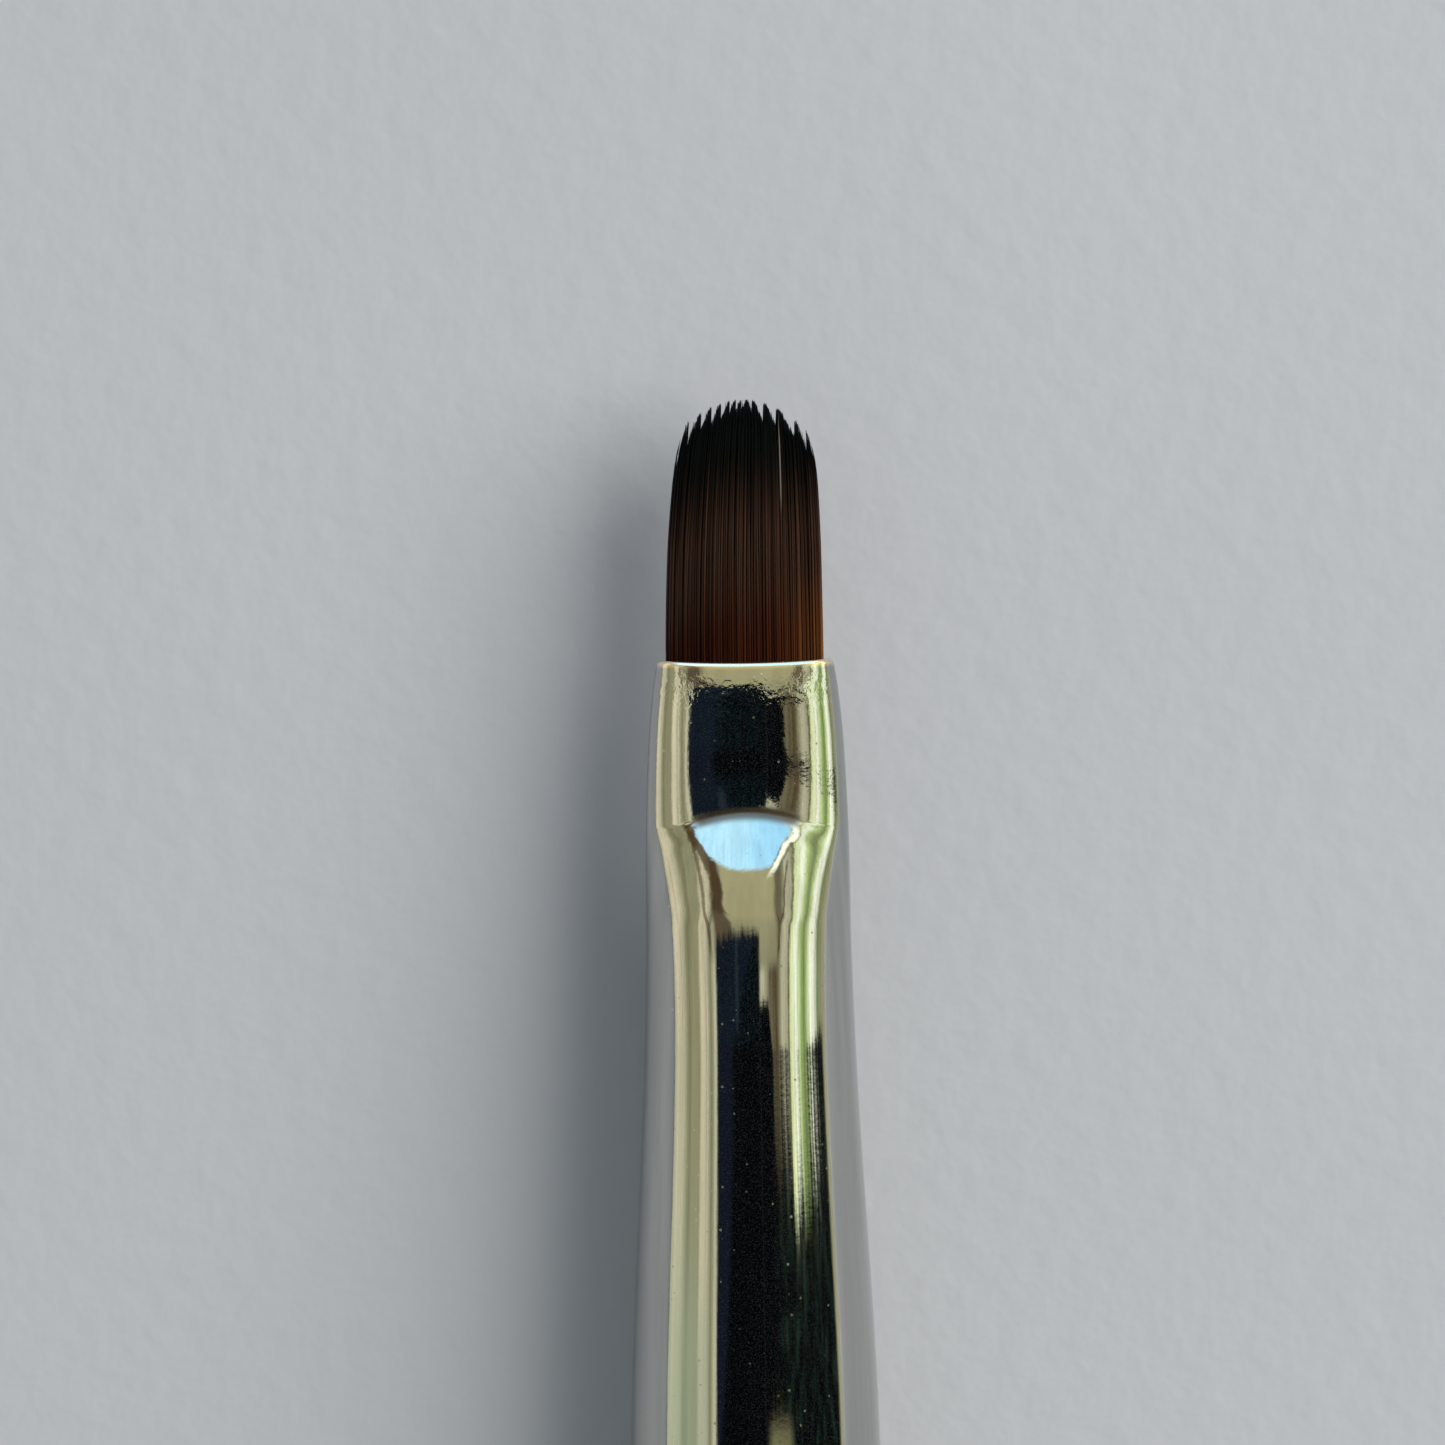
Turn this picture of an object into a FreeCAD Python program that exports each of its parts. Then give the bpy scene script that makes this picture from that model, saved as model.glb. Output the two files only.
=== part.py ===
"""Short-handled filbert detail brush, as a parametric FreeCAD document, in millimetres.

Every sub-part is drawn in the brush's own bench frame: the origin is the centre of the
ferrule's mouth, +Z runs out through the hair to its tip, X is across the flat face of the
brush. One shared Placement then lays the brush along +Y, with +Z up and the surface that
it lies on at Z = 0, under the middle of its length.
"""

import FreeCAD, Part
import os
import Sketcher
from FreeCAD import Placement, Rotation, Vector

# Driving dimensions: alias, millimetres, meaning. "depth" is a distance behind the mouth
# of the ferrule, "reach" a distance in front of it, "wide" and "high" are half sizes.
SIZES = [
    ("overall_length", 184.0, "hair tip to handle end"),
    ("hair_reach", 7.9, "hair that stands out of the ferrule"),
    ("axis_height", 4.3, "axis above the surface: the belly's radius"),
    ("wall", 0.25, "ferrule sheet"),
    ("fit_gap", 0.02, "gap between parts that touch in the real brush"),
    # Ferrule: oval sections of the pressed nose and its shoulder, front to back.
    ("mouth_wide", 2.67, "lip of the ferrule"),
    ("mouth_high", 1.05, ""),
    ("lip_depth", 0.9, "end of the pinched lip"),
    ("lip_wide", 2.81, ""),
    ("lip_high", 1.23, ""),
    ("press_depth", 2.5, "middle of the pressed face"),
    ("press_wide", 2.96, ""),
    ("press_high", 1.33, ""),
    ("crease_depth", 4.85, "crease between pressed face and shoulder"),
    ("crease_wide", 3.07, ""),
    ("crease_high", 1.46, ""),
    ("ramp_depth", 5.65, "steep start of the shoulder"),
    ("ramp_wide", 3.09, ""),
    ("ramp_high", 1.88, ""),
    ("rise_depth", 6.45, ""),
    ("rise_wide", 3.10, ""),
    ("rise_high", 2.23, ""),
    ("brow_depth", 8.0, "shoulder rounds over"),
    ("brow_wide", 3.11, ""),
    ("brow_high", 2.76, ""),
    ("neck_depth", 9.6, ""),
    ("neck_wide", 3.14, ""),
    ("neck_high", 3.02, ""),
    # Ferrule: round cone and the collar that is crimped to the handle.
    ("cone_depth", 11.8, "from here back the ferrule is round"),
    ("cone_radius", 3.21, ""),
    ("collar_depth", 25.5, "start of the cylindrical collar"),
    ("collar_radius", 3.8, ""),
    ("ferrule_length", 34.5, ""),
    ("crimp_depth", 31.6, "first of two rolled crimps"),
    ("crimp_pitch", 1.6, ""),
    ("crimp_radius", 0.45, "radius of the crimping roller's edge"),
    ("crimp_standoff", 0.15, "roller centre outside the collar"),
    # Hair.
    ("hair_wide", 2.385, "half width at the mouth"),
    ("hair_high", 0.78, "half thickness at the mouth"),
    ("belly_reach", 2.8, ""),
    ("belly_wide", 2.32, ""),
    ("belly_high", 0.75, ""),
    ("toe_reach", 5.2, "the tuft thins towards its toe"),
    ("toe_wide", 2.18, ""),
    ("toe_high", 0.54, ""),
    ("edge_wide", 1.90, "at the hair's full reach"),
    ("edge_high", 0.13, ""),
    ("dome_fall", 0.25, "tip outline falls by this times the square of the offset"),
    ("dome_peak", 0.15, "the longest hair is this far to the left of the middle"),
    ("dome_wide", 2.0, "half width where the dome starts"),
    ("notch", 0.45, "how far a gap between two locks opens below the dome"),
    ("lock_gap", 0.02, "between neighbouring locks"),
    ("lock_spare", 0.5, "outline of an outermost lock beyond the tuft's side"),
    ("stock_wide", 10.0, "stock that the tuft is cut from and with: wider than the hair"),
    ("flex_reach", 1.2, "bending axis of the tuft: 0.15 of its length out"),
    ("flex_radius", 0.78, "rounded heel of the tuft about that axis"),
    ("heel_reach", 0.56, "front edge of the fixed hair under the rounded heel"),
    ("gather_wide", 1.95, "root under the ferrule's crease"),
    ("gather_high", 1.12, ""),
    ("bundle_radius", 1.5, "tied root of the hair bundle"),
    ("bundle_depth", 7.5, "root is round from here back"),
    ("root_depth", 10.4, "cut end of the roots"),
    # Thread and resin.
    ("thread_radius", 0.1, ""),
    ("thread_pitch", 0.22, ""),
    ("thread_height", 1.1, "five turns"),
    ("thread_depth", 9.4, "rear end of the winding"),
    ("tie_depth", 9.6, "rear end of the pocket round the winding"),
    ("resin_depth", 15.5, "rear face of the resin plug"),
    # Handle.
    ("glue_film", 0.1, "between tenon and ferrule"),
    ("tenon_depth", 20.0, "front face of the tenon"),
    ("tenon_chamfer", 0.4, ""),
    ("glue_front_depth", 21.0, ""),
    ("glue_rear_depth", 30.2, ""),
    ("heel_radius", 3.78, "handle just behind the ferrule"),
    ("heel_round", 0.25, ""),
    ("grip_depth", 50.0, "thickest place of the handle"),
    ("grip_radius", 4.3, ""),
    ("sweep_depth", 80.0, "where the long taper turns hollow"),
    ("sweep_radius", 900.0, "curvature of the taper up to there"),
    ("tail_depth", 174.3, "start of the rounded end"),
]

# Widths of the twelve locks that the tip divides into, left to right, as shares of the
# tuft's half width: uneven, as hair parts by itself.
LOCK_SHARES = [0.13, 0.17, 0.16, 0.13, 0.14, 0.18, 0.17, 0.18, 0.20, 0.28, 0.16, 0.10]

# Sketch points closer together than this, in millimetres, are the same point.
SAME_POINT = 1e-6


class Size:
    """A length that carries its number and the spreadsheet expression it comes from."""

    def __init__(self, number, text):
        self.number = number
        self.text = text

    def _join(self, sign, other, number):
        other_text = other.text if isinstance(other, Size) else str(other)
        return Size(number, "(%s %s %s)" % (self.text, sign, other_text))

    def __add__(self, other):
        return self._join("+", other, self.number + number_of(other))

    def __sub__(self, other):
        return self._join("-", other, self.number - number_of(other))

    def __mul__(self, other):
        return self._join("*", other, self.number * number_of(other))

    def __neg__(self):
        return Size(-self.number, "(0 mm - %s)" % self.text)


def number_of(value):
    return value.number if isinstance(value, Size) else float(value)


doc = FreeCAD.newDocument("filbert_brush")
sheet = doc.addObject("Spreadsheet::Sheet", "dims")
size = {}
for row, (alias, value, meaning) in enumerate(SIZES, start=1):
    sheet.set("A%d" % row, alias)
    sheet.set("B%d" % row, str(value))
    sheet.set("C%d" % row, meaning)
    sheet.setAlias("B%d" % row, alias)
    size[alias] = Size(value, "dims.%s * 1 mm" % alias)
doc.recompute()
ZERO = Size(0.0, "0 mm")


def lay_along_y(part):
    """The shared Placement, from the bench frame to the frame that the brush lies in."""
    mouth_y = size["overall_length"].number / 2 - size["hair_reach"].number
    part.Placement = Placement(
        Vector(0, mouth_y, size["axis_height"].number), Rotation(Vector(1, 0, 0), -90)
    )
    part.setExpression("Placement.Base.y", "(dims.overall_length / 2 - dims.hair_reach) * 1 mm")
    part.setExpression("Placement.Base.z", "dims.axis_height * 1 mm")
    return part


def body_named(label):
    body = doc.addObject("PartDesign::Body", label)
    body.Label = label
    return body


def plane_of(body, role):
    return next(f for f in body.Origin.OriginFeatures if f.Role == role)


def sketch_on(body, role, name):
    sketch = body.newObject("Sketcher::SketchObject", name)
    sketch.AttachmentSupport = (plane_of(body, role), [""])
    sketch.MapMode = "FlatFace"
    return sketch


def pin_point(sketch, geometry, point, x=None, y=None):
    """Binds a sketch point's coordinates to spreadsheet expressions."""
    for kind, wanted in (("DistanceX", x), ("DistanceY", y)):
        if wanted is None:
            continue
        datum = FreeCAD.Units.Quantity("%r mm" % wanted.number)
        made = sketch.addConstraint(
            Sketcher.Constraint(kind, -1, 1, geometry, point, datum)
        )
        sketch.setExpression("Constraints[%d]" % made, wanted.text)


def pin_radius(sketch, geometry, radius):
    datum = FreeCAD.Units.Quantity("%r mm" % radius.number)
    made = sketch.addConstraint(Sketcher.Constraint("Radius", geometry, datum))
    sketch.setExpression("Constraints[%d]" % made, radius.text)


def oval_sketch(body, name, at, wide, high):
    """An ellipse across the bench Z axis, at height `at`, with both half sizes bound."""
    sketch = sketch_on(body, "XY_Plane", name)
    sketch.AttachmentOffset = Placement(Vector(0, 0, at.number), Rotation())
    sketch.setExpression("AttachmentOffset.Base.z", at.text)
    sketch.addGeometry(
        Part.Ellipse(Vector(wide.number, 0, 0), Vector(0, high.number, 0), Vector()), False
    )
    sketch.exposeInternalGeometry(0)
    sketch.addConstraint(Sketcher.Constraint("Coincident", 0, 3, -1, 1))
    sketch.addConstraint(Sketcher.Constraint("Horizontal", 1))
    for line, half in ((1, wide), (2, high)):
        datum = FreeCAD.Units.Quantity("%r mm" % (2 * half.number))
        made = sketch.addConstraint(Sketcher.Constraint("Distance", line, datum))
        sketch.setExpression("Constraints[%d]" % made, (half * 2).text)
    return sketch


def circle_sketch(body, name, at, radius):
    sketch = sketch_on(body, "XY_Plane", name)
    sketch.AttachmentOffset = Placement(Vector(0, 0, at.number), Rotation())
    sketch.setExpression("AttachmentOffset.Base.z", at.text)
    sketch.addGeometry(Part.Circle(Vector(), Vector(0, 0, 1), radius.number), False)
    sketch.addConstraint(Sketcher.Constraint("Coincident", 0, 3, -1, 1))
    pin_radius(sketch, 0, radius)
    return sketch


def polygon_sketch(body, name, corners):
    """A closed outline of straight lines in the XZ plane, each corner bound to the sheet."""
    sketch = sketch_on(body, "XZ_Plane", name)
    count = len(corners)
    places = [Vector(x.number, y.number, 0) for x, y in corners]
    for i in range(count):
        sketch.addGeometry(Part.LineSegment(places[i], places[(i + 1) % count]), False)
    for i in range(count):
        sketch.addConstraint(Sketcher.Constraint("Coincident", i, 2, (i + 1) % count, 1))
    for i, (x, y) in enumerate(corners):
        pin_point(sketch, i, 1, x, y)
    return sketch


def add_arc(sketch, start, middle, end):
    """Adds an arc. Returns its index and which of its stored ends is start and end."""
    index = sketch.addGeometry(Part.Arc(start, middle, end), False)
    forward = sketch.getPoint(index, 1).distanceToPoint(start) < SAME_POINT
    return (index, 1, 2) if forward else (index, 2, 1)


def add_line(sketch, start, end):
    return (sketch.addGeometry(Part.LineSegment(start, end), False), 1, 2)


def join(sketch, first, second, kind="Coincident"):
    """Joins the end of one side to the start of the next; sides as add_arc returns them."""
    sketch.addConstraint(
        Sketcher.Constraint(kind, first[0], first[2], second[0], second[1])
    )


def feature(body, kind, name, profile, **settings):
    made = body.newObject("PartDesign::%s" % kind, name)
    made.Profile = profile
    for key, value in settings.items():
        setattr(made, key, value)
    return made


def turned(body, kind, name, profile):
    """A Revolution or Groove of a profile round the bench Z axis."""
    axis = plane_of(body, "Z_Axis")
    return feature(body, kind, name, profile, ReferenceAxis=(axis, [""]), Angle=360.0)


def lofted(body, kind, name, sections):
    return feature(body, kind, name, sections[0], Sections=sections[1:], Ruled=False)


def oval_loft(label, ovals):
    """A Part::Loft through ellipses given as (height, half width, half thickness)."""
    rings = []
    for i, (at, wide, high) in enumerate(ovals):
        ring = doc.addObject("Part::Ellipse", "%s_oval_%d" % (label, i + 1))
        ring.setExpression("MajorRadius", wide.text)
        ring.setExpression("MinorRadius", high.text)
        ring.setExpression("Placement.Base.z", at.text)
        rings.append(ring)
    loft = doc.addObject("Part::Loft", label)
    loft.Sections = rings
    loft.Solid = True
    loft.Ruled = False
    return loft


def part_object(kind, label, at=None, **sizes):
    """A Part primitive whose sizes, and place along the bench Z axis, are bound."""
    made = doc.addObject("Part::%s" % kind, label)
    for key, wanted in sizes.items():
        made.setExpression(key, wanted.text)
    if at is not None:
        made.setExpression("Placement.Base.z", at.text)
    return made


def boolean(kind, label, first, second):
    made = doc.addObject("Part::%s" % kind, label)
    made.Base = first
    made.Tool = second
    return made


# Ferrule ---------------------------------------------------------------------------------

NOSE_STATIONS = ["lip", "press", "crease"]
SHOULDER_STATIONS = ["ramp", "rise", "brow", "neck"]


def station_sketch(body, name, inset):
    """Oval section of the ferrule at a named station, `inset` inside its outer face."""
    at = ZERO if name == "mouth" else -size[name + "_depth"]
    return oval_sketch(
        body,
        name + ("_bore" if inset.number else "_oval"),
        at,
        size[name + "_wide"] - inset,
        size[name + "_high"] - inset,
    )


def crimp_heights():
    """Heights, on the bench Z axis, of the two rolled crimps."""
    return [-size["crimp_depth"], -(size["crimp_depth"] + size["crimp_pitch"])]


def half_chord(radius, standoff):
    """Half the length of a circle's chord at a distance from its centre."""
    return (radius.number**2 - standoff.number**2) ** 0.5


def barrel_outline():
    """Corners of the wall of the round cone and collar, and the arcs among its sides.

    It runs back along the outside, round the rear edge and forward along the bore. The
    arcs, by the index of the corner that they start at, are (roller height, radius).
    """
    outside, wall = size["collar_radius"], size["wall"]
    inside = outside - wall
    groove_radius = size["crimp_radius"]
    bead_radius = groove_radius + wall
    groove_half = half_chord(groove_radius, size["crimp_standoff"])
    bead_half = half_chord(bead_radius, size["crimp_standoff"] + wall)
    start, end = -size["collar_depth"], -size["ferrule_length"]

    corners = [(size["cone_radius"], -size["cone_depth"]), (outside, start)]
    arcs = {}
    for centre in crimp_heights():
        arcs[len(corners)] = (centre, groove_radius)
        corners.append((outside, centre + groove_half))
        corners.append((outside, centre - groove_half))
    corners += [(outside, end), (inside, end)]
    for centre in reversed(crimp_heights()):
        arcs[len(corners)] = (centre, bead_radius)
        corners.append((inside, centre - bead_half))
        corners.append((inside, centre + bead_half))
    corners += [(inside, start), (size["cone_radius"] - wall, -size["cone_depth"])]
    return corners, arcs


def barrel_wall_sketch(body):
    """Wall of the round cone and collar, with the two rolled crimps, as one profile."""
    sketch = sketch_on(body, "XZ_Plane", "barrel_wall")
    roller_x = size["collar_radius"] + size["crimp_standoff"]
    corners, arcs = barrel_outline()
    count = len(corners)
    places = [Vector(x.number, y.number, 0) for x, y in corners]
    sides = []
    for i in range(count):
        start, end = places[i], places[(i + 1) % count]
        if i in arcs:
            centre, radius = arcs[i]
            deepest = Vector(roller_x.number - radius.number, centre.number, 0)
            sides.append(add_arc(sketch, start, deepest, end))
        else:
            sides.append(add_line(sketch, start, end))
    for i in range(count):
        join(sketch, sides[i], sides[(i + 1) % count])
    # The ends of an arc lie on its roller's circle, so only their X is bound.
    for i, (x, y) in enumerate(corners):
        on_arc = i in arcs or (i - 1) in arcs
        pin_point(sketch, i, sides[i][1], x, None if on_arc else y)
    for i, (centre, radius) in arcs.items():
        pin_point(sketch, i, 3, roller_x, centre)
        pin_radius(sketch, i, radius)
    return sketch


def make_ferrule():
    """One drawn metal tube: oval pressed nose, shoulder, round cone, crimped collar."""
    body = body_named("ferrule")
    wall = size["wall"]
    for kind, inset in (("Additive", ZERO), ("Subtractive", wall)):
        radius = size["cone_radius"] - inset
        name = kind.lower()
        crease = station_sketch(body, "crease", inset)
        nose = [station_sketch(body, n, inset) for n in ["mouth"] + NOSE_STATIONS[:-1]]
        shoulder = [station_sketch(body, n, inset) for n in SHOULDER_STATIONS]
        shoulder.append(circle_sketch(body, name + "_cone_front", -size["cone_depth"], radius))
        lofted(body, kind + "Loft", name + "_nose", nose + [crease])
        lofted(body, kind + "Loft", name + "_shoulder", [crease] + shoulder)
    turned(body, "Revolution", "barrel", barrel_wall_sketch(body))
    return lay_along_y(body)


# Handle ----------------------------------------------------------------------------------


def cone_bore_radius(depth):
    """Radius of the ferrule's bore in its round cone, `depth` behind the mouth."""
    run = size["collar_depth"] - size["cone_depth"]
    rise = size["collar_radius"] - size["cone_radius"]
    share = (depth.number - size["cone_depth"].number) / run.number
    return size["cone_radius"] + rise * share - size["wall"]


def tenon_corners():
    """Straight part of the handle's half profile: from the axis round the tenon."""
    film, chamfer = size["glue_film"], size["tenon_chamfer"]
    front = -size["tenon_depth"]
    rear = -(size["ferrule_length"] + size["fit_gap"])
    front_radius = cone_bore_radius(size["tenon_depth"]) - film
    radius = size["collar_radius"] - size["wall"] - film
    return [
        (ZERO, front),
        (front_radius - chamfer, front),
        (front_radius, front - chamfer),
        (radius, -size["collar_depth"]),
        (radius, rear),
        (size["heel_radius"] - size["heel_round"], rear),
        (size["heel_radius"], rear - size["heel_round"]),
    ]


def arc_middle(start, end, centre):
    """Point of the arc from start to end about a centre, half way between them."""
    outwards = ((start + end) * 0.5 - centre).normalize()
    return centre + outwards * start.distanceToPoint(centre)


def shaft_arcs(neck):
    """The four arcs of the turned shaft from its neck, as (start, middle, end) points.

    They are neck to grip, grip to the start of the hollow, the hollow, and the round end.
    """
    grip_x, grip_y = size["grip_radius"].number, -size["grip_depth"].number
    sweep, sweep_y = size["sweep_radius"].number, -size["sweep_depth"].number
    tail_y = -size["tail_depth"].number
    end_y = size["hair_reach"].number - size["overall_length"].number

    run, drop = neck.y - grip_y, grip_x - neck.x
    front_radius = (run * run + drop * drop) / (2 * drop)
    turn = grip_y - sweep_y
    sweep_x = grip_x - sweep + (sweep * sweep - turn * turn) ** 0.5
    tail_x = tail_y - end_y
    # The hollow leaves the sweep at its slope and falls to the tail along a parabola.
    slope = turn / sweep
    fall, length = sweep_x - tail_x, sweep_y - tail_y
    hollow_x = sweep_x - slope * length / 2 + (slope * length - fall) / 4

    grip, hollow = Vector(grip_x, grip_y, 0), Vector(sweep_x, sweep_y, 0)
    tail, end = Vector(tail_x, tail_y, 0), Vector(0, end_y, 0)
    return [
        (neck, arc_middle(neck, grip, Vector(grip_x - front_radius, grip_y, 0)), grip),
        (grip, arc_middle(grip, hollow, Vector(grip_x - sweep, grip_y, 0)), hollow),
        (hollow, Vector(hollow_x, (sweep_y + tail_y) / 2, 0), tail),
        (tail, arc_middle(tail, end, Vector(0, tail_y, 0)), end),
    ]


def handle_sketch(body):
    """Half profile of the turned handle: tenon, shoulder, grip swell, hollow taper, end."""
    sketch = sketch_on(body, "XZ_Plane", "handle_profile")
    corners = tenon_corners()
    places = [Vector(x.number, y.number, 0) for x, y in corners]
    lines = [add_line(sketch, a, b) for a, b in zip(places[:-1], places[1:])]
    for first, second in zip(lines[:-1], lines[1:]):
        join(sketch, first, second)
    for line, (x, y) in zip(lines, corners[:-1]):
        pin_point(sketch, line[0], 1, x, y)
    pin_point(sketch, lines[-1][0], 2, *corners[-1])

    arcs = [add_arc(sketch, *points) for points in shaft_arcs(places[-1])]
    swell, sweep, hollow, end = arcs
    end_height = size["hair_reach"] - size["overall_length"]
    closing = add_line(sketch, Vector(0, end_height.number, 0), places[0])
    join(sketch, lines[-1], swell)
    join(sketch, swell, sweep)
    join(sketch, sweep, hollow, "Tangent")
    join(sketch, hollow, end, "Tangent")
    join(sketch, end, closing)
    join(sketch, closing, lines[0])

    pin_point(sketch, swell[0], swell[2], size["grip_radius"], -size["grip_depth"])
    for arc in (swell, sweep):
        pin_point(sketch, arc[0], 3, None, -size["grip_depth"])
    pin_radius(sketch, sweep[0], size["sweep_radius"])
    pin_point(sketch, sweep[0], sweep[2], None, -size["sweep_depth"])
    pin_point(sketch, hollow[0], hollow[2], None, -size["tail_depth"])
    pin_point(sketch, end[0], 3, ZERO, None)
    pin_point(sketch, closing[0], 1, ZERO, end_height)
    return sketch


def make_handle():
    """One turned wooden handle, with grooves in its tenon where the crimps bite."""
    body = body_named("handle")
    turned(body, "Revolution", "turned_blank", handle_sketch(body))
    bite = sketch_on(body, "XZ_Plane", "crimp_bite")
    centre_x = size["collar_radius"] + size["crimp_standoff"]
    radius = size["crimp_radius"] + size["wall"] + size["fit_gap"]
    for centre_y in crimp_heights():
        place = Vector(centre_x.number, centre_y.number, 0)
        index = bite.addGeometry(Part.Circle(place, Vector(0, 0, 1), radius.number), False)
        pin_point(bite, index, 3, centre_x, centre_y)
        pin_radius(bite, index, radius)
    turned(body, "Groove", "crimp_grooves", bite)
    return lay_along_y(body)


def make_handle_glue():
    """The film of wood glue between the tenon and the ferrule's bore."""
    body = body_named("handle_glue")
    half_gap = size["fit_gap"] * 0.5
    film = size["glue_film"]
    front, corner, rear = size["glue_front_depth"], size["collar_depth"], size["glue_rear_depth"]
    front_bore = cone_bore_radius(front)
    rear_bore = size["collar_radius"] - size["wall"]
    outline = [
        (front_bore - half_gap, -front),
        (rear_bore - half_gap, -corner),
        (rear_bore - half_gap, -rear),
        (rear_bore - film + half_gap, -rear),
        (rear_bore - film + half_gap, -corner),
        (front_bore - film + half_gap, -front),
    ]
    profile = polygon_sketch(body, "film_profile", outline)
    turned(body, "Revolution", "film", profile)
    return lay_along_y(body)


# Hair root, thread and resin -------------------------------------------------------------


def heel_roller(label, radius):
    """A cylinder along X about the tuft's bending axis."""
    roller = part_object(
        "Cylinder", label, at=size["flex_reach"], Radius=radius, Height=size["stock_wide"]
    )
    roller.Placement.Rotation = Rotation(Vector(0, 1, 0), 90)
    roller.setExpression("Placement.Base.x", (-(size["stock_wide"] * 0.5)).text)
    return roller


def make_hair_root():
    """Fixed part of the hair: oval in the mouth, gathered to a round bundle behind it."""
    bundle = size["bundle_radius"]
    gathered = oval_loft(
        "gathered_roots",
        [
            (size["heel_reach"], size["hair_wide"], size["hair_high"]),
            (-size["lip_depth"], size["hair_wide"], size["hair_high"]),
            (-size["crease_depth"], size["gather_wide"], size["gather_high"]),
            (-size["bundle_depth"], bundle, bundle),
        ],
    )
    tied = part_object(
        "Cylinder",
        "tied_roots",
        at=-size["root_depth"],
        Radius=bundle,
        Height=size["root_depth"] - size["bundle_depth"],
    )
    roots = boolean("Fuse", "root_bundle", gathered, tied)
    trough = heel_roller("root_trough", size["flex_radius"] + size["fit_gap"])
    return lay_along_y(boolean("Cut", "hair_root", roots, trough))


def make_binding_thread():
    """Thread wound five times round the bundle before it goes into the ferrule."""
    body = body_named("binding_thread")
    strand = sketch_on(body, "XZ_Plane", "strand")
    centre_x = size["bundle_radius"] + size["thread_radius"] + size["fit_gap"]
    centre_y = -size["thread_depth"]
    place = Vector(centre_x.number, centre_y.number, 0)
    strand.addGeometry(
        Part.Circle(place, Vector(0, 0, 1), size["thread_radius"].number), False
    )
    pin_point(strand, 0, 3, centre_x, centre_y)
    pin_radius(strand, 0, size["thread_radius"])
    winding = feature(
        body,
        "AdditiveHelix",
        "winding",
        strand,
        ReferenceAxis=(plane_of(body, "Z_Axis"), [""]),
        Mode=0,
    )
    winding.setExpression("Pitch", size["thread_pitch"].text)
    winding.setExpression("Height", size["thread_height"].text)
    return lay_along_y(body)


def make_resin_plug():
    """Cured resin that holds the roots: fills the ferrule round and behind the bundle.

    Its front part follows the shoulder's own sections, and its rear part the round cone.
    """
    # Half a gap extra: between shared sections this loft need not follow the bore exactly.
    gap = size["wall"] + size["fit_gap"] * 1.5
    cone_front = size["cone_radius"] - gap
    shoulder = [
        (-size[n + "_depth"], size[n + "_wide"] - gap, size[n + "_high"] - gap)
        for n in ["crease"] + SHOULDER_STATIONS
    ]
    shoulder.append((-size["cone_depth"], cone_front, cone_front))
    poured = part_object(
        "Cylinder",
        "poured_length",
        at=-size["cone_depth"],
        Radius=size["collar_radius"],
        Height=size["cone_depth"] - size["brow_depth"],
    )
    front = boolean("Common", "resin_front", oval_loft("shoulder_bore", shoulder), poured)
    rear = part_object(
        "Cone",
        "resin_rear",
        at=-size["resin_depth"],
        Radius1=cone_bore_radius(size["resin_depth"]) - size["fit_gap"],
        Radius2=cone_front,
        Height=size["resin_depth"] - size["cone_depth"],
    )
    block = boolean("Fuse", "resin_block", front, rear)
    clear = size["fit_gap"] * 2
    tie_pocket = part_object(
        "Cylinder",
        "tie_pocket",
        at=-size["tie_depth"],
        Radius=size["bundle_radius"] + size["thread_radius"] * 2 + clear,
        Height=size["tie_depth"],
    )
    root_pocket = part_object(
        "Cylinder",
        "root_pocket",
        at=-(size["root_depth"] + size["fit_gap"]),
        Radius=size["bundle_radius"] + clear,
        Height=size["root_depth"],
    )
    pocket = boolean("Fuse", "resin_pocket", tie_pocket, root_pocket)
    return lay_along_y(boolean("Cut", "resin_plug", block, pocket))


# Tuft ------------------------------------------------------------------------------------


def make_tuft_envelope():
    """Outer form of the free hair, with its heel rounded about the bending axis."""
    form = oval_loft(
        "tuft_form",
        [
            (ZERO, size["hair_wide"], size["hair_high"]),
            (size["belly_reach"], size["belly_wide"], size["belly_high"]),
            (size["toe_reach"], size["toe_wide"], size["toe_high"]),
            (size["hair_reach"], size["edge_wide"], size["edge_high"]),
        ],
    )
    below = part_object(
        "Box",
        "below_axis",
        at=-size["flex_radius"],
        Length=size["stock_wide"],
        Width=size["stock_wide"],
        Height=size["flex_radius"] + size["flex_reach"],
    )
    for side in "xy":
        below.setExpression("Placement.Base." + side, (-(size["stock_wide"] * 0.5)).text)
    heel = heel_roller("tuft_heel", size["flex_radius"])
    trim = boolean("Cut", "below_heel", below, heel)
    return boolean("Cut", "tuft_envelope", form, trim)


def dome_reach(offset):
    """Reach of the rounded tip's outline at a distance `offset` across the tuft."""
    from_peak = size["dome_peak"] + offset
    fall = Size(
        size["dome_fall"].number * from_peak.number**2,
        "(dims.dome_fall * %s * %s / (1 mm))" % (from_peak.text, from_peak.text),
    )
    return size["hair_reach"] - fall


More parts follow.
